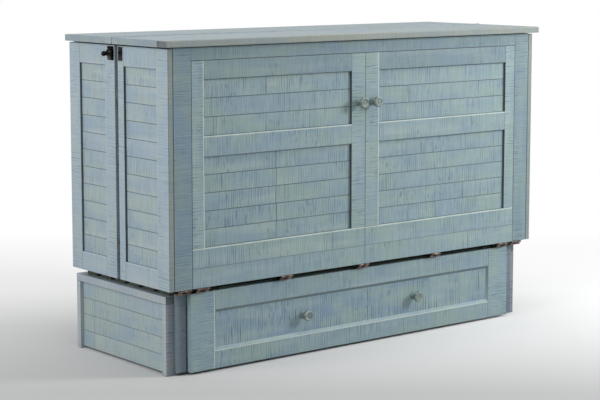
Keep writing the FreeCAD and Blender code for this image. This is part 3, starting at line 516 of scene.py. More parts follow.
def row_tree():
    """Geometry Nodes: matched boards stacked upward, some rows cut in two at one place."""
    tree, given, out = new_group("GeometryNodeTree", "board_rows", (
        ("Geometry", "Geometry"), ("Low", "Vector"), ("High", "Vector"), ("Rows", "Int"),
        ("Along depth", "Bool"), ("Cut", "Float"), ("First cut row", "Float"),
        ("Last cut row", "Float"), ("Seed", "Int"), ("Material", "Material")),
        (("Geometry", "Geometry"),))

    def by_run(flat, deep):
        """The first vector where boards run along x, the second where along y."""
        return take(
            tree, "GeometryNodeSwitch",
            {"Switch": given["Along depth"], "False": flat, "True": deep}, input_type="VECTOR")

    def board_axes(vector):
        """Vector along, across and through the board."""
        x, y, z = parted(tree, vector)
        return by_run(joined(tree, x, z, y), joined(tree, y, z, x))

    def stored(geometry, name, value, kind="FLOAT_VECTOR"):
        return take(
            tree, "GeometryNodeStoreNamedAttribute",
            {"Geometry": geometry, "Name": name, "Value": value}, data_type=kind, domain="POINT")

    def recalled(name):
        return take(
            tree, "GeometryNodeInputNamedAttribute", {"Name": name}, data_type="FLOAT_VECTOR")

    count = times(tree, given["Rows"], 2.0)
    line = take(tree, "GeometryNodeMeshLine", {"Count": count})
    index = take(tree, "GeometryNodeInputIndex")
    row = calc(tree, "FLOOR", calc(tree, "DIVIDE", index, 2.0))
    second = calc(tree, "MODULO", index, 2.0)
    size = vector_calc(tree, "SUBTRACT", given["High"], given["Low"])
    swing = put(tree, "FunctionNodeRandomValue",
                {"ID": row, "Seed": given["Seed"]}, data_type="FLOAT").outputs[1]
    cut = calc(tree, "MULTIPLY_ADD", calc(tree, "SUBTRACT", swing, 0.5), CUT_SPREAD, given["Cut"])
    uncut = calc(tree, "ADD", calc(tree, "LESS_THAN", row, given["First cut row"]),
                 calc(tree, "GREATER_THAN", row, given["Last cut row"]))
    cut = take(tree, "ShaderNodeClamp", {0: calc(tree, "ADD", cut, uncut)})
    start = times(tree, second, cut)
    end = calc(tree, "MAXIMUM", cut, second)
    share = calc(tree, "SUBTRACT", end, start)
    middle = times(tree, calc(tree, "ADD", start, end), 0.5)
    height_share = calc(tree, "DIVIDE", 1.0, given["Rows"])
    row_middle = times(tree, calc(tree, "ADD", row, 0.5), height_share)
    centre_share = by_run(
        joined(tree, middle, 0.5, row_middle), joined(tree, 0.5, middle, row_middle))
    centre = vector_calc(tree, "MULTIPLY_ADD", centre_share, size, given["Low"])
    size_share = by_run(
        joined(tree, share, 1.0, height_share), joined(tree, 1.0, share, height_share))
    placed = take(tree, "GeometryNodeSetPosition", {"Geometry": line, "Position": centre})
    own = put(tree, "FunctionNodeRandomValue",
              {2: 0.5, 3: 9.5, "ID": index, "Seed": given["Seed"]}, data_type="FLOAT").outputs[1]
    placed = stored(placed, "board_seed", own, "FLOAT")
    placed = stored(placed, "centre", centre)
    placed = stored(placed, "board_size", vector_calc(tree, "MULTIPLY", size_share, size))
    whole = take(tree, "FunctionNodeCompare",
                 {0: share, 1: SHORTEST_BOARD}, data_type="FLOAT", operation="GREATER_THAN")
    sized = recalled("board_size")
    copies = take(tree, "GeometryNodeInstanceOnPoints", {
        "Points": placed, "Selection": whole, "Scale": sized,
        "Instance": take(tree, "GeometryNodeMeshCube")})
    real = take(tree, "GeometryNodeRealizeInstances", {0: copies})
    here = take(tree, "GeometryNodeInputPosition")
    offset = vector_calc(tree, "SUBTRACT", here, recalled("centre"))
    real = stored(real, "board_at", board_axes(offset))
    half = vector_calc(tree, "MULTIPLY", board_axes(sized), (0.5, 0.5, 0.5))
    finish_shape(tree, stored(real, "board_half", half), given, out)
    return tree


BOARD_ROWS = row_tree()


def plain_mesh(shape):
    """Mesh that a shape's modifiers give."""
    bpy.context.view_layer.update()
    ready = shape.evaluated_get(bpy.context.evaluated_depsgraph_get())
    return bpy.data.meshes.new_from_object(ready)


def made_by(tree, name, values, points=(), bevel=0.0):
    """Run a Geometry Nodes tree on points with the given inputs and keep the plain mesh."""
    spots = bpy.data.meshes.new(name)
    spots.from_pydata(points, [], [])
    holder = bpy.data.objects.new(name, spots)
    scene.collection.objects.link(holder)
    modifier = holder.modifiers.new(name, "NODES")
    modifier.node_group = tree
    for item in tree.interface.items_tree:
        if item.in_out == "INPUT" and item.name in values:
            modifier[item.identifier] = values[item.name]
    if bevel:
        easing = holder.modifiers.new("easing", "BEVEL")
        easing.width = bevel
        easing.segments = 2
    mesh = plain_mesh(holder)
    mesh.name = name
    bpy.data.objects.remove(holder)
    return mesh


GROOVE = 1.5 * MM
ALL_ROWS = (0, 99)


def boards_in(node, pitch, material, body, seed, cut=1.0, cut_rows=ALL_ROWS):
    """Rows of matched boards in place of a CAD board panel, some cut at a share of the width."""
    low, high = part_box(node)
    mesh = made_by(BOARD_ROWS, f"{node}_rows", {
        "Low": low, "High": high, "Rows": max(1, round((high.z - low.z) / pitch)),
        "Along depth": high.y - low.y > high.x - low.x, "Cut": cut,
        "First cut row": float(cut_rows[0]), "Last cut row": float(cut_rows[1]),
        "Seed": seed, "Material": material}, bevel=GROOVE)
    return piece_from(mesh, f"{node}_rows", material, body, "painted_wood", node)


BOARD_PITCH = 59.7 * MM
side_board_paint = sawn_paint(
    "side_board_paint", blue=(148, 167, 181), green=(162, 177, 174), pale=(186, 193, 195),
    deep=(98, 120, 142), marks=1.0, joint=0.75, bared=0.3)
# The sides' front edges take a darker grey and dark joints, partly painted shade of the seam.
side_edge_paint = sawn_paint(
    "side_edge_paint", blue=(130, 146, 149), green=(138, 148, 143), pale=(156, 163, 157),
    deep=(98, 108, 109), marks=0.6, rub_and_highlight=0.0, joint=0.8, bared=0.15)
for half_name in ("rear", "front"):
    for side, seed in (("left", 11), ("right", 12)):
        body = "root" if half_name == "rear" else f"side_{side}"
        panel = f"side_boards_{half_name}_{side}"
        boards = new_timber()
        window_frame(boards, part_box(f"side_frame_{half_name}_{side}"), [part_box(panel)])
        framed = timber_piece(
            boards, f"side_panel_{half_name}_{side}", side_paint, body,
            f"side_frame_{half_name}_{side}")
        finish_where(
            framed, side_edge_paint, lambda face: half_name == "front" and face.normal.y < -0.9)
        boards_in(panel, BOARD_PITCH, side_board_paint, body, seed)

# ---- The front --------------------------------------------------------------------------
# Seven matched parts make the false front: an outer frame of two stiles and a top strip, two
# doors whose wide bottom rail is two boards deep, and four boarded panels. It lets down whole.
front_paint = sawn_paint("front_paint", marks=1.0, rub_and_highlight=0.9, joint=0.4)
low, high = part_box("front_outer_frame")
door_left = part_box("door_frame_left")
door_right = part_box("door_frame_right")
DOOR_SEAM = 0.9 * MM
SURROUND_EASE = 0.7 * MM
boards = new_timber()
strip_low = door_left[1].z + DOOR_SEAM
plank(boards, low, moved_to(high, x=door_left[0].x - DOOR_SEAM), "z", SURROUND_EASE)
plank(boards, moved_to(low, x=door_right[1].x + DOOR_SEAM), high, "z", SURROUND_EASE)
plank(boards, moved_to(low, x=door_left[0].x - DOOR_SEAM, z=strip_low),
      moved_to(high, x=door_right[1].x + DOOR_SEAM), "x", SURROUND_EASE)
# Painted shade: darker paint on the surround and door top rails, for lid shadow and dim ends.
surround_shade_paint = sawn_paint(
    "surround_shade_paint", blue=(122, 144, 159), green=(128, 150, 151), pale=(155, 171, 169), marks=1.0,
    joint=0.5)
timber_piece(boards, "front_surround", surround_shade_paint, "front", "front_outer_frame")

for side, seed in (("left", 21), ("right", 22)):
    low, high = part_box(f"door_frame_{side}")
    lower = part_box(f"door_boards_lower_{side}")
    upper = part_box(f"door_boards_upper_{side}")
    boards = new_timber()
    rail_joint = (low.z + lower[0].z) / 2
    plank(boards, low, moved_to(high, z=rail_joint), "x", CLOSE_EASE)
    # Pale lines partly painted highlight on the lit edges; painted shade on stile inner faces.
    plank(boards, moved_to(low, z=rail_joint), moved_to(high, z=lower[0].z), "x", lit_worn_side=1)
    above_rail = moved_to(low, z=lower[0].z)
    plank(boards, above_rail, moved_to(high, x=lower[0].x), "z", lit_worn_side=1, shaded_side=1)
    plank(boards, moved_to(above_rail, x=lower[1].x), high, "z", shaded_side=-1)
    for bottom, top in ((lower[1].z, upper[0].z), (upper[1].z, high.z)):
        plank(boards, Vector((lower[0].x, low.y, bottom)), Vector((lower[1].x, high.y, top)), "x",
              lit_worn_side=1 if top < high.z else 0)
    door = timber_piece(boards, f"door_{side}", front_paint, "front", f"door_frame_{side}")
    # Painted shade under the lid: the door's top rail takes the darker surround paint.
    finish_where(door, surround_shade_paint, lambda face: (
        face.center.z > upper[1].z and lower[0].x < face.center.x < lower[1].x))

board_paint = sawn_paint("board_paint", marks=1.15, joint=0.75, bared=0.15)
for level, side, seed, cut, cut_rows in (
        ("upper", "left", 31, 0.42, (2, 2)), ("lower", "left", 32, 0.477, (0, 4)),
        ("upper", "right", 33, 0.23, (1, 1)), ("lower", "right", 34, 0.45, (0, 0))):
    boards_in(f"door_boards_{level}_{side}", BOARD_PITCH, board_paint, "front", seed, cut, cut_rows)

# ---- The knobs --------------------------------------------------------------------------
# Four turned wooden knobs, two on the doors and two on the drawer, painted with the front and
# pale on the rim and on the turned rings of the face, which is partly worn paint and partly
# painted highlight.
RING_STEPS = 40
KNOB_STEM = 9 * MM
WELD = 0.01 * MM


def turned(mesh, place, axis, profile, steps):
    """Turn a profile of (along, radius) about an axis through a place, and give its rings."""
    up = Vector((0, 0, 1))
    across = axis.cross(up)
    turns = [math.tau * step / steps for step in range(steps)]
    rings = [[mesh.verts.new(place + axis * along
                             + (up * math.cos(turn) + across * math.sin(turn)) * radius)
              for turn in turns] for along, radius in profile]
    for near, far in zip(rings, rings[1:]):
        for step in range(steps):
            after = (step + 1) % steps
            mesh.faces.new((near[step], near[after], far[after], far[step]))
    mesh.faces.new(rings[0])
    return rings


def knob_mesh(places, reach, head):
    """Turned knobs that stand out toward the front from the given places."""
    profile = [(reach * along, KNOB_STEM * share) for share, along in (
        (1.45, 0.0), (1.5, 0.03), (1.5, 0.07), (1.32, 0.10), (1.0, 0.16), (0.86, 0.26),
        (0.88, 0.36))]
    profile += [(reach * along, head * share) for share, along in (
        (0.66, 0.46), (0.86, 0.55), (0.96, 0.63), (1.0, 0.73), (0.985, 0.83), (0.93, 0.91),
        (0.85, 0.97), (0.78, 1.0), (0.70, 0.995), (0.66, 0.965), (0.58, 0.955), (0.52, 0.97),
        (0.47, 0.955), (0.32, 0.945), (0.2, 0.95), (0.12, 0.975), (0.0, 0.985))]
    knobs = bmesh.new()
    rim_wear_and_highlight = knobs.verts.layers.float.new("rubbed_and_lit")
    for place in places:
        rings = turned(knobs, place, Vector((0, -1, 0)), profile, RING_STEPS)
        for ring, (along, radius) in zip(rings, profile):
            # Pale crest on the rim, partly worn paint and partly painted highlight.
            crest = 0.5 if 0.74 * head < radius < 0.95 * head and along > 0.85 * reach else 0.0
            if abs(radius - 0.52 * head) < 0.1 * MM or radius < 0.14 * head:
                crest = 0.35
            for point in ring:
                point[rim_wear_and_highlight] = crest
    bmesh.ops.remove_doubles(knobs, verts=knobs.verts, dist=WELD)
    bmesh.ops.recalc_face_normals(knobs, faces=knobs.faces)
    for face in knobs.faces:
        face.smooth = True
    return mesh_of(knobs, "knobs")


knob_paint, tree = new_material("knob_paint")
place = put(tree, "ShaderNodeTexCoord").outputs["Object"]
blotches = spread(tree, grown(tree, place, (90, 90, 90), 3.0), 0.42, 0.62)
tone = mixed(tree, blotches, colour(98, 118, 118), colour(136, 150, 142))
# The pale rim is partly worn paint and partly painted highlight.
rim = put(tree, "ShaderNodeAttribute", attribute_name="rubbed_and_lit").outputs["Fac"]
chips = spread(tree, grown(tree, place, (150, 150, 150), 2.0), 0.42, 0.62)
tone = mixed(tree, times(tree, rim, chips), tone, colour(206, 204, 190))
finish_tree(tree, 0.3, 0.3 * MM, grown(tree, place, (60, 900, 60), 1.0), {
    "Base Color": tone, "Roughness": spread(tree, blotches, 0.0, 1.0, 0.38, 0.55)})

for node, body in (("door_knobs", "front"), ("drawer_knobs", "drawer")):
    low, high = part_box(node)
    head = (high.z - low.z) / 2
    middle_z = (low.z + high.z) / 2
    places = [Vector((low.x + head, high.y, middle_z)), Vector((high.x - head, high.y, middle_z))]
    piece_from(knob_mesh(places, high.y - low.y, head), f"{node}_turned", knob_paint, body,
               "painted_wood", node)

# ---- The back ---------------------------------------------------------------------------
# A plain frame with a middle stile against the wall, boards nailed behind it, and the wide
# board that closes the base. Less paint went on it than on the faces that show.
back_paint = sawn_paint("back_paint", marks=0.6, joint=0.3)
back_board_paint = sawn_paint("back_board_paint", marks=0.7, joint=0.8)
low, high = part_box("back_frame")
BACK_STILE = 90 * MM
boards = new_timber()
plank(boards, low, moved_to(high, x=low.x + BACK_STILE), "z")
plank(boards, moved_to(low, x=high.x - BACK_STILE), high, "z")
for bottom, top in ((low.z, low.z + BACK_STILE), (high.z - BACK_STILE, high.z)):
    plank(boards, Vector((low.x + BACK_STILE, low.y, bottom)),
          Vector((high.x - BACK_STILE, high.y, top)), "x")
plank(boards, Vector((-BACK_STILE / 2, low.y, low.z + BACK_STILE)),
      Vector((BACK_STILE / 2, high.y, high.z - BACK_STILE)), "z")
timber_piece(boards, "back_surround", back_paint, "root", "back_frame")
boards_in("back_boards", BOARD_PITCH, back_board_paint, "root", 41, 0.5)
boards = new_timber()
plank(boards, *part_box("base_back_board"), "x")
timber_piece(boards, "base_back", back_paint, "root", "base_back_board")

# ---- The base ---------------------------------------------------------------------------
# At each end an upside-down U of solid wood stands on the floor, its legs joined by a top
# rail, with four painted boards let in between the legs. Rails tie the two ends together.
# The base's dark joint lines partly stand for painted shade under the top rail.
base_paint = sawn_paint(
    "base_paint", blue=(158, 169, 179), green=(166, 177, 179), pale=(192, 196, 197),
    deep=(112, 124, 138), marks=0.5, joint=0.5)
base_board_paint = sawn_paint(
    "base_board_paint", blue=(150, 168, 181), green=(162, 177, 172), pale=(182, 191, 188),
    deep=(104, 124, 146), marks=0.9, joint=0.45, end=0.35, bared=0.2)
# The posts' front faces take a darker purple-grey, partly their tint and partly painted shade.
post_paint = sawn_paint(
    "post_paint", blue=(128, 142, 156), green=(142, 150, 154), pale=(162, 162, 160),
    deep=(72, 80, 98), rubbed_and_lit=(124, 108, 92), marks=1.3, rub_and_highlight=0.85)
BASE_RAIL = 26 * MM
BASE_BOARD_PITCH = 58.5 * MM
for side, seed in (("left", 51), ("right", 52)):
    low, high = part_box(f"base_frame_{side}")
    panel_low, panel_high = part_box(f"base_boards_{side}")
    boards = new_timber()
    plank(boards, moved_to(low, z=high.z - BASE_RAIL), high, "y")
    plank(boards, low, moved_to(high, y=panel_low.y, z=high.z - BASE_RAIL), "z",
          lit_worn_side=1 if side == "left" else -1)
    plank(boards, moved_to(low, y=panel_high.y), moved_to(high, z=high.z - BASE_RAIL), "z")
    end = timber_piece(boards, f"base_end_{side}", base_paint, "root", f"base_frame_{side}")
    finish_where(end, post_paint, lambda face: (
        face.normal.y < -0.9 and face.center.y < panel_low.y))
    boards_in(f"base_boards_{side}", BASE_BOARD_PITCH, base_board_paint, "root", seed,
              0.86 if side == "left" else 0.14, (0, 2))

# ---- The face frame and the drawer front --------------------------------------------------
# The carriage's face frame has a top rail over two stiles. The drawer front sits before it:
# wide stiles, two rails with a bevelled inner edge, and one long sunk panel.
# Painted shade: near-black green on the rail's middle and top faces, for the dark gap above it.
rail_shade_paint = sawn_paint(
    "rail_shade_paint", blue=(66, 84, 76), green=(78, 96, 80), pale=(96, 110, 94), deep=(40, 54, 52))
face_paint = sawn_paint(
    "face_paint", blue=(104, 122, 138), green=(118, 132, 138), pale=(138, 144, 146),
    deep=(62, 78, 96), marks=1.0)
stile_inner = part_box("drawer_slides_outer")[1].x
low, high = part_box("face_top_rail")
boards = new_timber()
plank(boards, moved_to(low, x=-stile_inner), moved_to(high, x=stile_inner), "x", CLOSE_EASE)
plank(boards, low, moved_to(high, x=-stile_inner), "z", CLOSE_EASE)
plank(boards, moved_to(low, x=stile_inner), high, "z", CLOSE_EASE)
rail = timber_piece(boards, "face_rail", face_paint, "carriage", "face_top_rail")
finish_where(rail, rail_shade_paint, lambda face: abs(face.center.x) < stile_inner or face.normal.z > 0.7)
low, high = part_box("face_stiles")
boards = new_timber()
plank(boards, low, moved_to(high, x=-stile_inner), "z")
plank(boards, moved_to(low, x=stile_inner), high, "z")
timber_piece(boards, "face_posts", face_paint, "carriage", "face_stiles")

DRAWER_STILE = 100 * MM
DRAWER_TOP_RAIL = 66 * MM
DRAWER_BOTTOM_RAIL = 63 * MM
DRAWER_RECESS = 6 * MM
BEVEL_WIDTH = 9 * MM
PANEL_GAP = 1 * MM
low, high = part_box("drawer_front")
window_low = low + Vector((DRAWER_STILE, 0, DRAWER_BOTTOM_RAIL))
window_high = high - Vector((DRAWER_STILE, 0, DRAWER_TOP_RAIL))
boards = new_timber()
window_frame(boards, (low, high), [(window_low, window_high)])
timber_piece(boards, "drawer_face", front_paint, "drawer", "drawer_front")


def bevelled_border(boards, low, high, depth, width):
    """Closed moulding that slopes from a window's edge down to the sunk panel."""
    at = boards.verts.layers.float_vector["board_at"]
    half = boards.verts.layers.float_vector["board_half"]
    seed = boards.verts.layers.float["board_seed"]
    shade = boards.verts.layers.float["board_shade"]
    own = chance.uniform(0.5, 9.5)
    loops = []
    for inset, y in ((0.0, low.y), (width, low.y + depth), (0.0, low.y + depth)):
        loop = [boards.verts.new((x, y, z)) for x, z in (
            (low.x + inset, low.z + inset), (high.x - inset, low.z + inset),
            (high.x - inset, high.z - inset), (low.x + inset, high.z - inset))]
        for point in loop:
            point[at] = (point.co.x, width / 2 - inset, 0.0)
            point[half] = (high.x + width, width / 2, width)
            point[seed] = own
            # Painted shadow: the upper half of the moulding is darkened as if shaded by the top
            # rail.
            point[shade] = 0.55 if point.co.z > (low.z + high.z) / 2 else 0.0
        loops.append(loop)
    for first, second in zip(loops, loops[1:] + loops[:1]):
        for corner in range(4):
            after = (corner + 1) % 4
            boards.faces.new((first[corner], first[after], second[after], second[corner]))
    bmesh.ops.recalc_face_normals(boards, faces=boards.faces)


boards = new_timber()
panel_low = window_low + Vector((0, DRAWER_RECESS, 0))
plank(boards, panel_low, Vector((window_high.x, high.y - PANEL_GAP, window_high.z)), "x")
drawer_panel_paint = sawn_paint("drawer_panel_paint", blue=(130, 155, 174), marks=1.5, end=0.2)
timber_piece(boards, "drawer_panel", drawer_panel_paint, "drawer", "drawer_front")
boards = new_timber()
bevelled_border(boards, window_low, window_high, DRAWER_RECESS, BEVEL_WIDTH)
border_paint = sawn_paint("border_paint", marks=0.5, end=0.0, bared=0.3)
timber_piece(boards, "drawer_border", border_paint, "drawer", "drawer_front")

# ---- The unpainted wood -----------------------------------------------------------------
# What never shows when the bed is shut is plain softwood and plywood, only planed. It is pale
# in the carriage, the drawer box, the runners and the sheet behind the front. The fixed slats
# take a near-black green grain that is painted shade, for the dark gap under the body.


def wood_grain_group():
    """Growth rings drawn out along a board, with darker latewood and small flecks."""
    group, given, out = new_group(
        "ShaderNodeTree", "wood_grain",
        (("Place", "Vector"), ("Early", "Color"), ("Late", "Color"), ("Rings", "Float")),
        (("Color", "Color"), ("Roughness", "Float"), ("Height", "Float")))
    drift = grown(group, given["Place"], (1.6, 14, 14), 2.0)
    parts = parted(group, given["Place"])
    across = calc(group, "ADD", parts[1], times(group, parts[2], 0.4))
    phase = calc(group, "MULTIPLY_ADD", across, given["Rings"], times(group, drift, 26.0))
    rings = spread(group, calc(group, "SINE", phase), -0.2, 1.0)
    fibres = grown(group, given["Place"], (12, 700, 700), 2.0)
    share = times(group, rings, calc(group, "MULTIPLY_ADD", fibres, 0.8, 0.1))
    tone = mixed(group, share, given["Early"], given["Late"])
    tone = mixed(group, spread(group, fibres, 0.55, 0.75, 0.0, 0.3), tone, given["Late"])
    group.links.new(tone, out["Color"])
    group.links.new(calc(group, "MULTIPLY_ADD", fibres, 0.3, 0.45), out["Roughness"])
    group.links.new(calc(group, "ADD", share, fibres), out["Height"])
    return group


WOOD_GRAIN = wood_grain_group()


def bare_wood(name, along, early, late, rings=420.0):
    """Planed wood whose grain runs along x or y of the cabinet."""
    material, tree = new_material(name)
    place = put(tree, "ShaderNodeTexCoord").outputs["Object"]
    turn = 0.0 if along == "x" else math.radians(-90)
    mapping = take(tree, "ShaderNodeMapping", {"Vector": place, "Rotation": (0, 0, turn)})
    grain = put(
        tree, "ShaderNodeGroup",
        {"Place": mapping, "Early": colour(*early), "Late": colour(*late), "Rings": rings},
        node_tree=WOOD_GRAIN)
    finish_tree(tree, 0.25, 0.3 * MM, grain.outputs["Height"], {
        "Base Color": grain.outputs["Color"], "Roughness": grain.outputs["Roughness"]})
    return material


def finish_nodes(material, *names):
    """Give CAD parts a finish and keep their shape."""
    for name in names:
        mesh = nodes[name].data
        if not mesh.materials:
            mesh.materials.append(material)
        for slot_number in range(len(mesh.materials)):
            mesh.materials[slot_number] = material


pine_x = bare_wood("pine_along_width", "x", (216, 190, 150), (176, 136, 92))
pine_y = bare_wood("pine_along_depth", "y", (214, 188, 148), (172, 132, 90))
ply_x = bare_wood("plywood_sheet", "x", (214, 194, 160), (188, 158, 120), rings=150.0)
finish_nodes(pine_x, "carriage_slats", "drawer_back")
# Painted shade: near-black green grain for the slats seen in the shaded gap.
painted_shade_slats = bare_wood("painted_shade_slat_wood", "x", (66, 74, 62), (40, 48, 42))
finish_nodes(painted_shade_slats, "deck_slats")
finish_nodes(pine_y, "carriage_sides", "carriage_runners", "drawer_sides", "base_rails")
finish_nodes(ply_x, "front_platform", "drawer_bottom")

# ---- The screws of the slats ------------------------------------------------------------
# Each slat is held by one countersunk screw near either end, outside the mattress. Their
# zinc heads stand a little proud, with the cross slots turned every way.


def screw_tree():
    """Geometry Nodes: countersunk heads set on the points of the mesh they are given."""
    tree, given, out = new_group("GeometryNodeTree", "screw_heads", (
        ("Geometry", "Geometry"), ("Radius", "Float"), ("Height", "Float"), ("Seed", "Int"),
        ("Material", "Material")), (("Geometry", "Geometry"),))
    head = take(tree, "GeometryNodeMeshCylinder", {
        "Vertices": 20, "Radius": given["Radius"], "Depth": given["Height"]})
    slot_length = times(tree, given["Radius"], 1.1)
    slot_width = times(tree, given["Radius"], 0.26)
    deep = times(tree, given["Height"], 3.0)
    for lengths in ((slot_length, slot_width), (slot_width, slot_length)):
        bar = take(tree, "GeometryNodeMeshCube", {"Size": joined(tree, *lengths, deep)})
        lift = joined(tree, 0.0, 0.0, times(tree, deep, 0.5))
        bar = take(tree, "GeometryNodeTransform", {"Geometry": bar, "Translation": lift})
        head = take(tree, "GeometryNodeMeshBoolean",
                    {"Mesh 1": head, "Mesh 2": bar}, operation="DIFFERENCE")
    turn = take(
        tree, "FunctionNodeRandomValue",
        {0: (0.0, 0.0, 0.0), 1: (0.0, 0.0, 3.1), "Seed": given["Seed"]}, data_type="FLOAT_VECTOR")
    heads = take(tree, "GeometryNodeInstanceOnPoints", {
        "Points": given["Geometry"], "Instance": head, "Rotation": turn})
    real = take(tree, "GeometryNodeRealizeInstances", {0: heads})
    finish_shape(tree, real, given, out)
    return tree


SCREW_HEADS = screw_tree()
SCREW_RADIUS = 4.2 * MM
SCREW_PROUD = 0.5 * MM


def metal(name, fresh, dull, rough_low, rough_high, scale=60, metallic=1.0):
    """Metal whose colour and gloss change between fresh and dull patches."""
    material, tree = new_material(name)
    place = put(tree, "ShaderNodeTexCoord").outputs["Object"]
    patches = spread(tree, grown(tree, place, (scale,) * 3, 4.0, 0.6), 0.38, 0.66)
    scratches = grown(tree, place, (scale * 14, scale * 1.5, scale * 14), 2.0)
    finish_tree(tree, 0.2, 0.1 * MM, scratches, {
        "Base Color": mixed(tree, patches, colour(*fresh), colour(*dull)), "Metallic": metallic,
        "Roughness": spread(tree, patches, 0.0, 1.0, rough_low, rough_high)})
    return material


zinc = metal("zinc_steel", (196, 198, 200), (150, 152, 150), 0.28, 0.48)
SLATS = 6
SLAT_WIDTH = 62 * MM
SCREW_INSET = 14 * MM
low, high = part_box("deck_slats")
slat_step = (high.y - low.y - SLAT_WIDTH) / (SLATS - 1)
slat_screws = [(x, low.y + SLAT_WIDTH / 2 + number * slat_step, high.z)
               for number in range(SLATS) for x in (low.x + SCREW_INSET, high.x - SCREW_INSET)]


def screws_at(name, points, material, body, slot, radius=SCREW_RADIUS, seed=7):
    """Screw heads, facing up, at the given points."""
    mesh = made_by(
        SCREW_HEADS, name,
        {"Radius": radius, "Height": 2 * SCREW_PROUD, "Seed": seed, "Material": material}, points)
    return piece_from(mesh, name, material, body, slot)


screws_at("slat_screws", slat_screws, zinc, "root", "zinc_steel")

# ---- The hinges -------------------------------------------------------------------------
# Seven cranked butt hinges in antique copper carry the front on the face rail. Steel butts
# join the half sides, and a piano hinge of thin sheet runs the length of the lid's seam.
copper = metal("antique_copper", (118, 102, 96), (70, 59, 56), 0.4, 0.62)
finish_nodes(copper, "front_hinge_upper", "front_hinge_lower")
seam_steel = metal("seam_steel", (92, 98, 98), (60, 66, 66), 0.35, 0.6)
finish_nodes(seam_steel, "side_hinge_fixed", "side_hinge_left", "side_hinge_right")
painted_steel = metal("painted_steel", (143, 155, 160), (128, 141, 147), 0.45, 0.6, 60, 0.0)
finish_nodes(painted_steel, "lid_hinge_fixed", "lid_hinge_moving")
HINGE_LENGTH = 50 * MM
HINGE_INSET = 46 * MM
LEAF_SHEET = 2 * MM
LEAF_SCREW_RADIUS = 3.6 * MM
LEAF_SCREW_SHARE = 0.3
hinge_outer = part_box("front_hinge_lower")[1].x - HINGE_LENGTH / 2
hinge_door = door_right[1].x - HINGE_INSET
rail_low, rail_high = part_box("face_top_rail")
leaf_screws = []
for centre in (0.0, hinge_door / 2, hinge_door, hinge_outer):
    for side in ((-1, 1) if centre else (1,)):
        for across in (-LEAF_SCREW_SHARE, LEAF_SCREW_SHARE):
            leaf_screws.append((side * centre + across * HINGE_LENGTH,
                                (rail_low.y + rail_high.y) / 2, rail_high.z + LEAF_SHEET))
screws_at("hinge_screws", leaf_screws, copper, "carriage", "copper_metal", LEAF_SCREW_RADIUS, 8)

# ---- The latches ------------------------------------------------------------------------
# A dark latch sits high on the middle seam at each side: a ribbed barrel on a plate, with a
# ball knob on a lever that turns, and a keeper plate across the seam.
dark_bronze = metal("dark_bronze", (42, 39, 40), (17, 16, 17), 0.2, 0.4)
knob_black = metal("latch_knob", (30, 30, 31), (14, 14, 15), 0.2, 0.35)
finish_nodes(dark_bronze, "latch_strike_left", "latch_strike_right")
BARREL_STEPS = 24
BARREL_LIFT = 0.5 * MM
PLATE = 4 * MM
LEVER_PLATE = 5 * MM
LEVER_TRIM = 4 * MM
KNOB_INSET = 9 * MM
PLATE_EASE = 1.4 * MM
LEVER_EASE = 1.8 * MM
RIB_SHARES = (0.62, 0.80, 0.66, 0.84, 0.68, 0.88, 0.70, 0.92, 0.96, 1.0, 1.0, 0.97, 0.90, 0.72)


def smooth_mesh(shape, name):
    """Finish a bmesh with its faces outward and its curves smooth."""
    bmesh.ops.recalc_face_normals(shape, faces=shape.faces)
    mesh = mesh_of(shape, name)
    for polygon in mesh.polygons:
        polygon.use_smooth = len(polygon.vertices) == 4
    return mesh


def turned_solid(mesh, place, axis, profile):
    """Closed turned form."""
    mesh.faces.new(turned(mesh, place, axis, profile, BARREL_STEPS)[-1])


case_low, case_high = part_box("latch_cases")
plate_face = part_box("side_frame_rear_left")[0].x
cases = bmesh.new()
for sign in (-1, 1):
    back = sign * abs(plate_face)
    front = sign * case_high.x
    near, far = sorted((back, back + sign * PLATE))
    add_block(cases, moved_to(case_low, x=near), moved_to(case_high, x=far), PLATE_EASE, segments=3)
    barrel = abs(front - back) - 2 * BARREL_LIFT
    length = case_high.y - case_low.y
    profile = [(length * step / (len(RIB_SHARES) - 1), barrel * share)
               for step, share in enumerate(reversed(RIB_SHARES))]
    middle_z = (case_low.z + case_high.z) / 2
    turned_solid(cases, Vector((back + sign * BARREL_LIFT, case_low.y, middle_z)),
                 Vector((0, 1, 0)), profile)
for point in cases.verts:
    if abs(point.co.x) < abs(plate_face):
        point.co.x = math.copysign(abs(plate_face), point.co.x)
piece_from(
    smooth_mesh(cases, "latch_barrels"), "latch_barrels", dark_bronze, "root", "dark_metal",
    "latch_cases")
for side, sign in (("left", -1), ("right", 1)):
    low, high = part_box(f"latch_lever_{side}")
    inner, outer = (high.x, low.x) if sign < 0 else (low.x, high.x)
    reach = abs(outer - inner)
    ball = (high.z - low.z) / 2
    profile = [(reach * along, ball * share) for along, share in (
        (0.0, 0.62), (0.10, 0.66), (0.20, 0.46), (0.30, 0.5))]
    profile += [(reach * 0.62 - ball * math.cos(turn) * 0.95, ball * math.sin(turn))
                for turn in (0.65, 0.95, 1.25, 1.57, 1.9, 2.25, 2.6, 2.9)]
    knob = bmesh.new()
    turned_solid(knob, Vector((inner, low.y + KNOB_INSET, (low.z + high.z) / 2)),
                 Vector((sign, 0, 0)), profile)
    near, far = sorted((inner, inner + sign * LEVER_PLATE))
    add_block(knob, Vector((near, low.y, low.z + LEVER_TRIM)),
              Vector((far, high.y, high.z - LEVER_TRIM)), LEVER_EASE, segments=3)
    piece_from(smooth_mesh(knob, f"latch_knob_{side}"), f"latch_knob_{side}", knob_black,
               f"latch_{side}", "dark_metal", f"latch_lever_{side}")

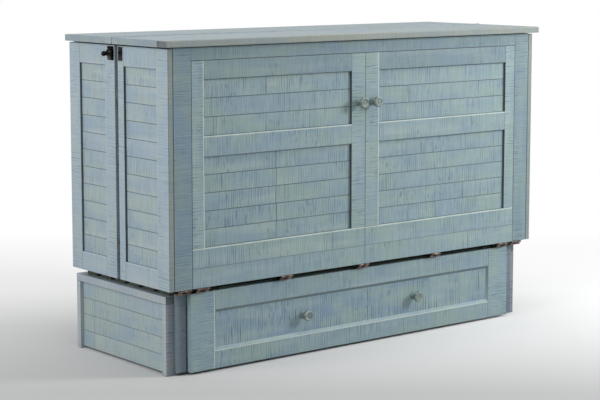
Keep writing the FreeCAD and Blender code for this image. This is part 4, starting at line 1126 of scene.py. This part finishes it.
# ---- The slides and the casters ---------------------------------------------------------
# Zinc-plated channel slides carry the drawer, and two rubber wheels in pressed forks carry
# the front end of the carriage.
finish_nodes(zinc, "drawer_slides_outer", "drawer_slides_inner", "caster_forks")
rubber = metal("wheel_rubber", (46, 46, 47), (30, 30, 31), 0.6, 0.8, 120, 0.0)
finish_nodes(rubber, "caster_wheel_left", "caster_wheel_right", "drawer_bumpers")

# ---- The mattress -----------------------------------------------------------------------
# A foam mattress in three folds stands inside on the slats. Each fold is foam that fills a
# knitted cover, quilted in diamonds.
FOLD_INSET = 13 * MM
FOLD_EASE = 16 * MM
FOLD_VOXEL = 17 * MM
FOLD_SWELL = 12 * MM
FOLD_STEPS = 20
PRESSURE = 4.0

knit, tree = new_material("knitted_cover")
place = put(tree, "ShaderNodeTexCoord").outputs["Object"]
x, y, z = parted(tree, place)
KNIT_RIBS = 900.0
QUILT_SIZE = 0.11


def waves(value, per_metre):
    """Sine of a length along the cover."""
    return calc(tree, "SINE", times(tree, value, per_metre))


ribs = times(tree, waves(x, KNIT_RIBS), waves(z, KNIT_RIBS))
seams = [calc(tree, "ABSOLUTE", waves(calc(tree, operation, x, z), math.pi / QUILT_SIZE))
         for operation in ("ADD", "SUBTRACT")]
diamonds = times(tree, *seams)
puffs = calc(tree, "POWER", diamonds, 0.4)
soil = grown(tree, place, (3, 3, 3), 3.0)
# Painted shade: the cover is darker along the quilting seams than on the puffs between them.
tone = mixed(tree, puffs, colour(196, 194, 186), colour(232, 230, 222))
tone = mixed(tree, spread(tree, soil, 0.4, 0.8, 0.0, 0.25), tone, colour(206, 200, 186))
tone = mixed(tree, times(tree, ribs, 0.12), tone, colour(180, 178, 172))
height = calc(tree, "MULTIPLY_ADD", puffs, 6.0, times(tree, ribs, 0.3))
finish_tree(tree, 0.8, 1.0 * MM, height, {
    "Base Color": tone, "Roughness": spread(tree, soil, 0.0, 1.0, 0.75, 0.95), "Sheen Weight": 0.3})


def swollen_fold(name, low, high):
    """One fold: a smaller block, remeshed, blown up against its cover, kept inside its space."""
    block = bmesh.new()
    inset = Vector((FOLD_INSET,) * 3)
    add_block(block, low + inset, high - inset, FOLD_EASE, segments=4)
    fold = bpy.data.objects.new(name, mesh_of(block, name))
    scene.collection.objects.link(fold)
    remesh = fold.modifiers.new("remesh", "REMESH")
    remesh.mode = "VOXEL"
    remesh.voxel_size = FOLD_VOXEL
    fold.data = plain_mesh(fold)
    fold.modifiers.clear()
    start = [vert.co.copy() for vert in fold.data.vertices]
    cloth = fold.modifiers.new("cloth", "CLOTH")
    cloth.settings.use_pressure = True
    cloth.settings.uniform_pressure_force = PRESSURE
    cloth.settings.effector_weights.gravity = 0
    for frame_number in range(1, FOLD_STEPS + 1):
        scene.frame_set(frame_number)
    fold.data = plain_mesh(fold)
    fold.modifiers.clear()
    scene.frame_set(1)
    for vert, origin in zip(fold.data.vertices, start):
        moved = vert.co - origin
        if moved.length > FOLD_SWELL:
            moved = moved.normalized() * FOLD_SWELL
        at = origin + moved
        vert.co = [min(max(at[axis], low[axis]), high[axis]) for axis in range(3)]
    smoother = fold.modifiers.new("smoother", "SUBSURF")
    smoother.levels = smoother.render_levels = 1
    fold.data = plain_mesh(fold)
    fold.modifiers.clear()
    for polygon in fold.data.polygons:
        polygon.use_smooth = True
    return fold


for name in ("rear", "middle", "front"):
    low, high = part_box(f"mattress_{name}")
    fold = swollen_fold(f"mattress_fold_{name}", low, high)
    fold.data.materials.clear()
    fold.data.materials.append(knit)
    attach(fold, "root")
    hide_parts(f"mattress_{name}")
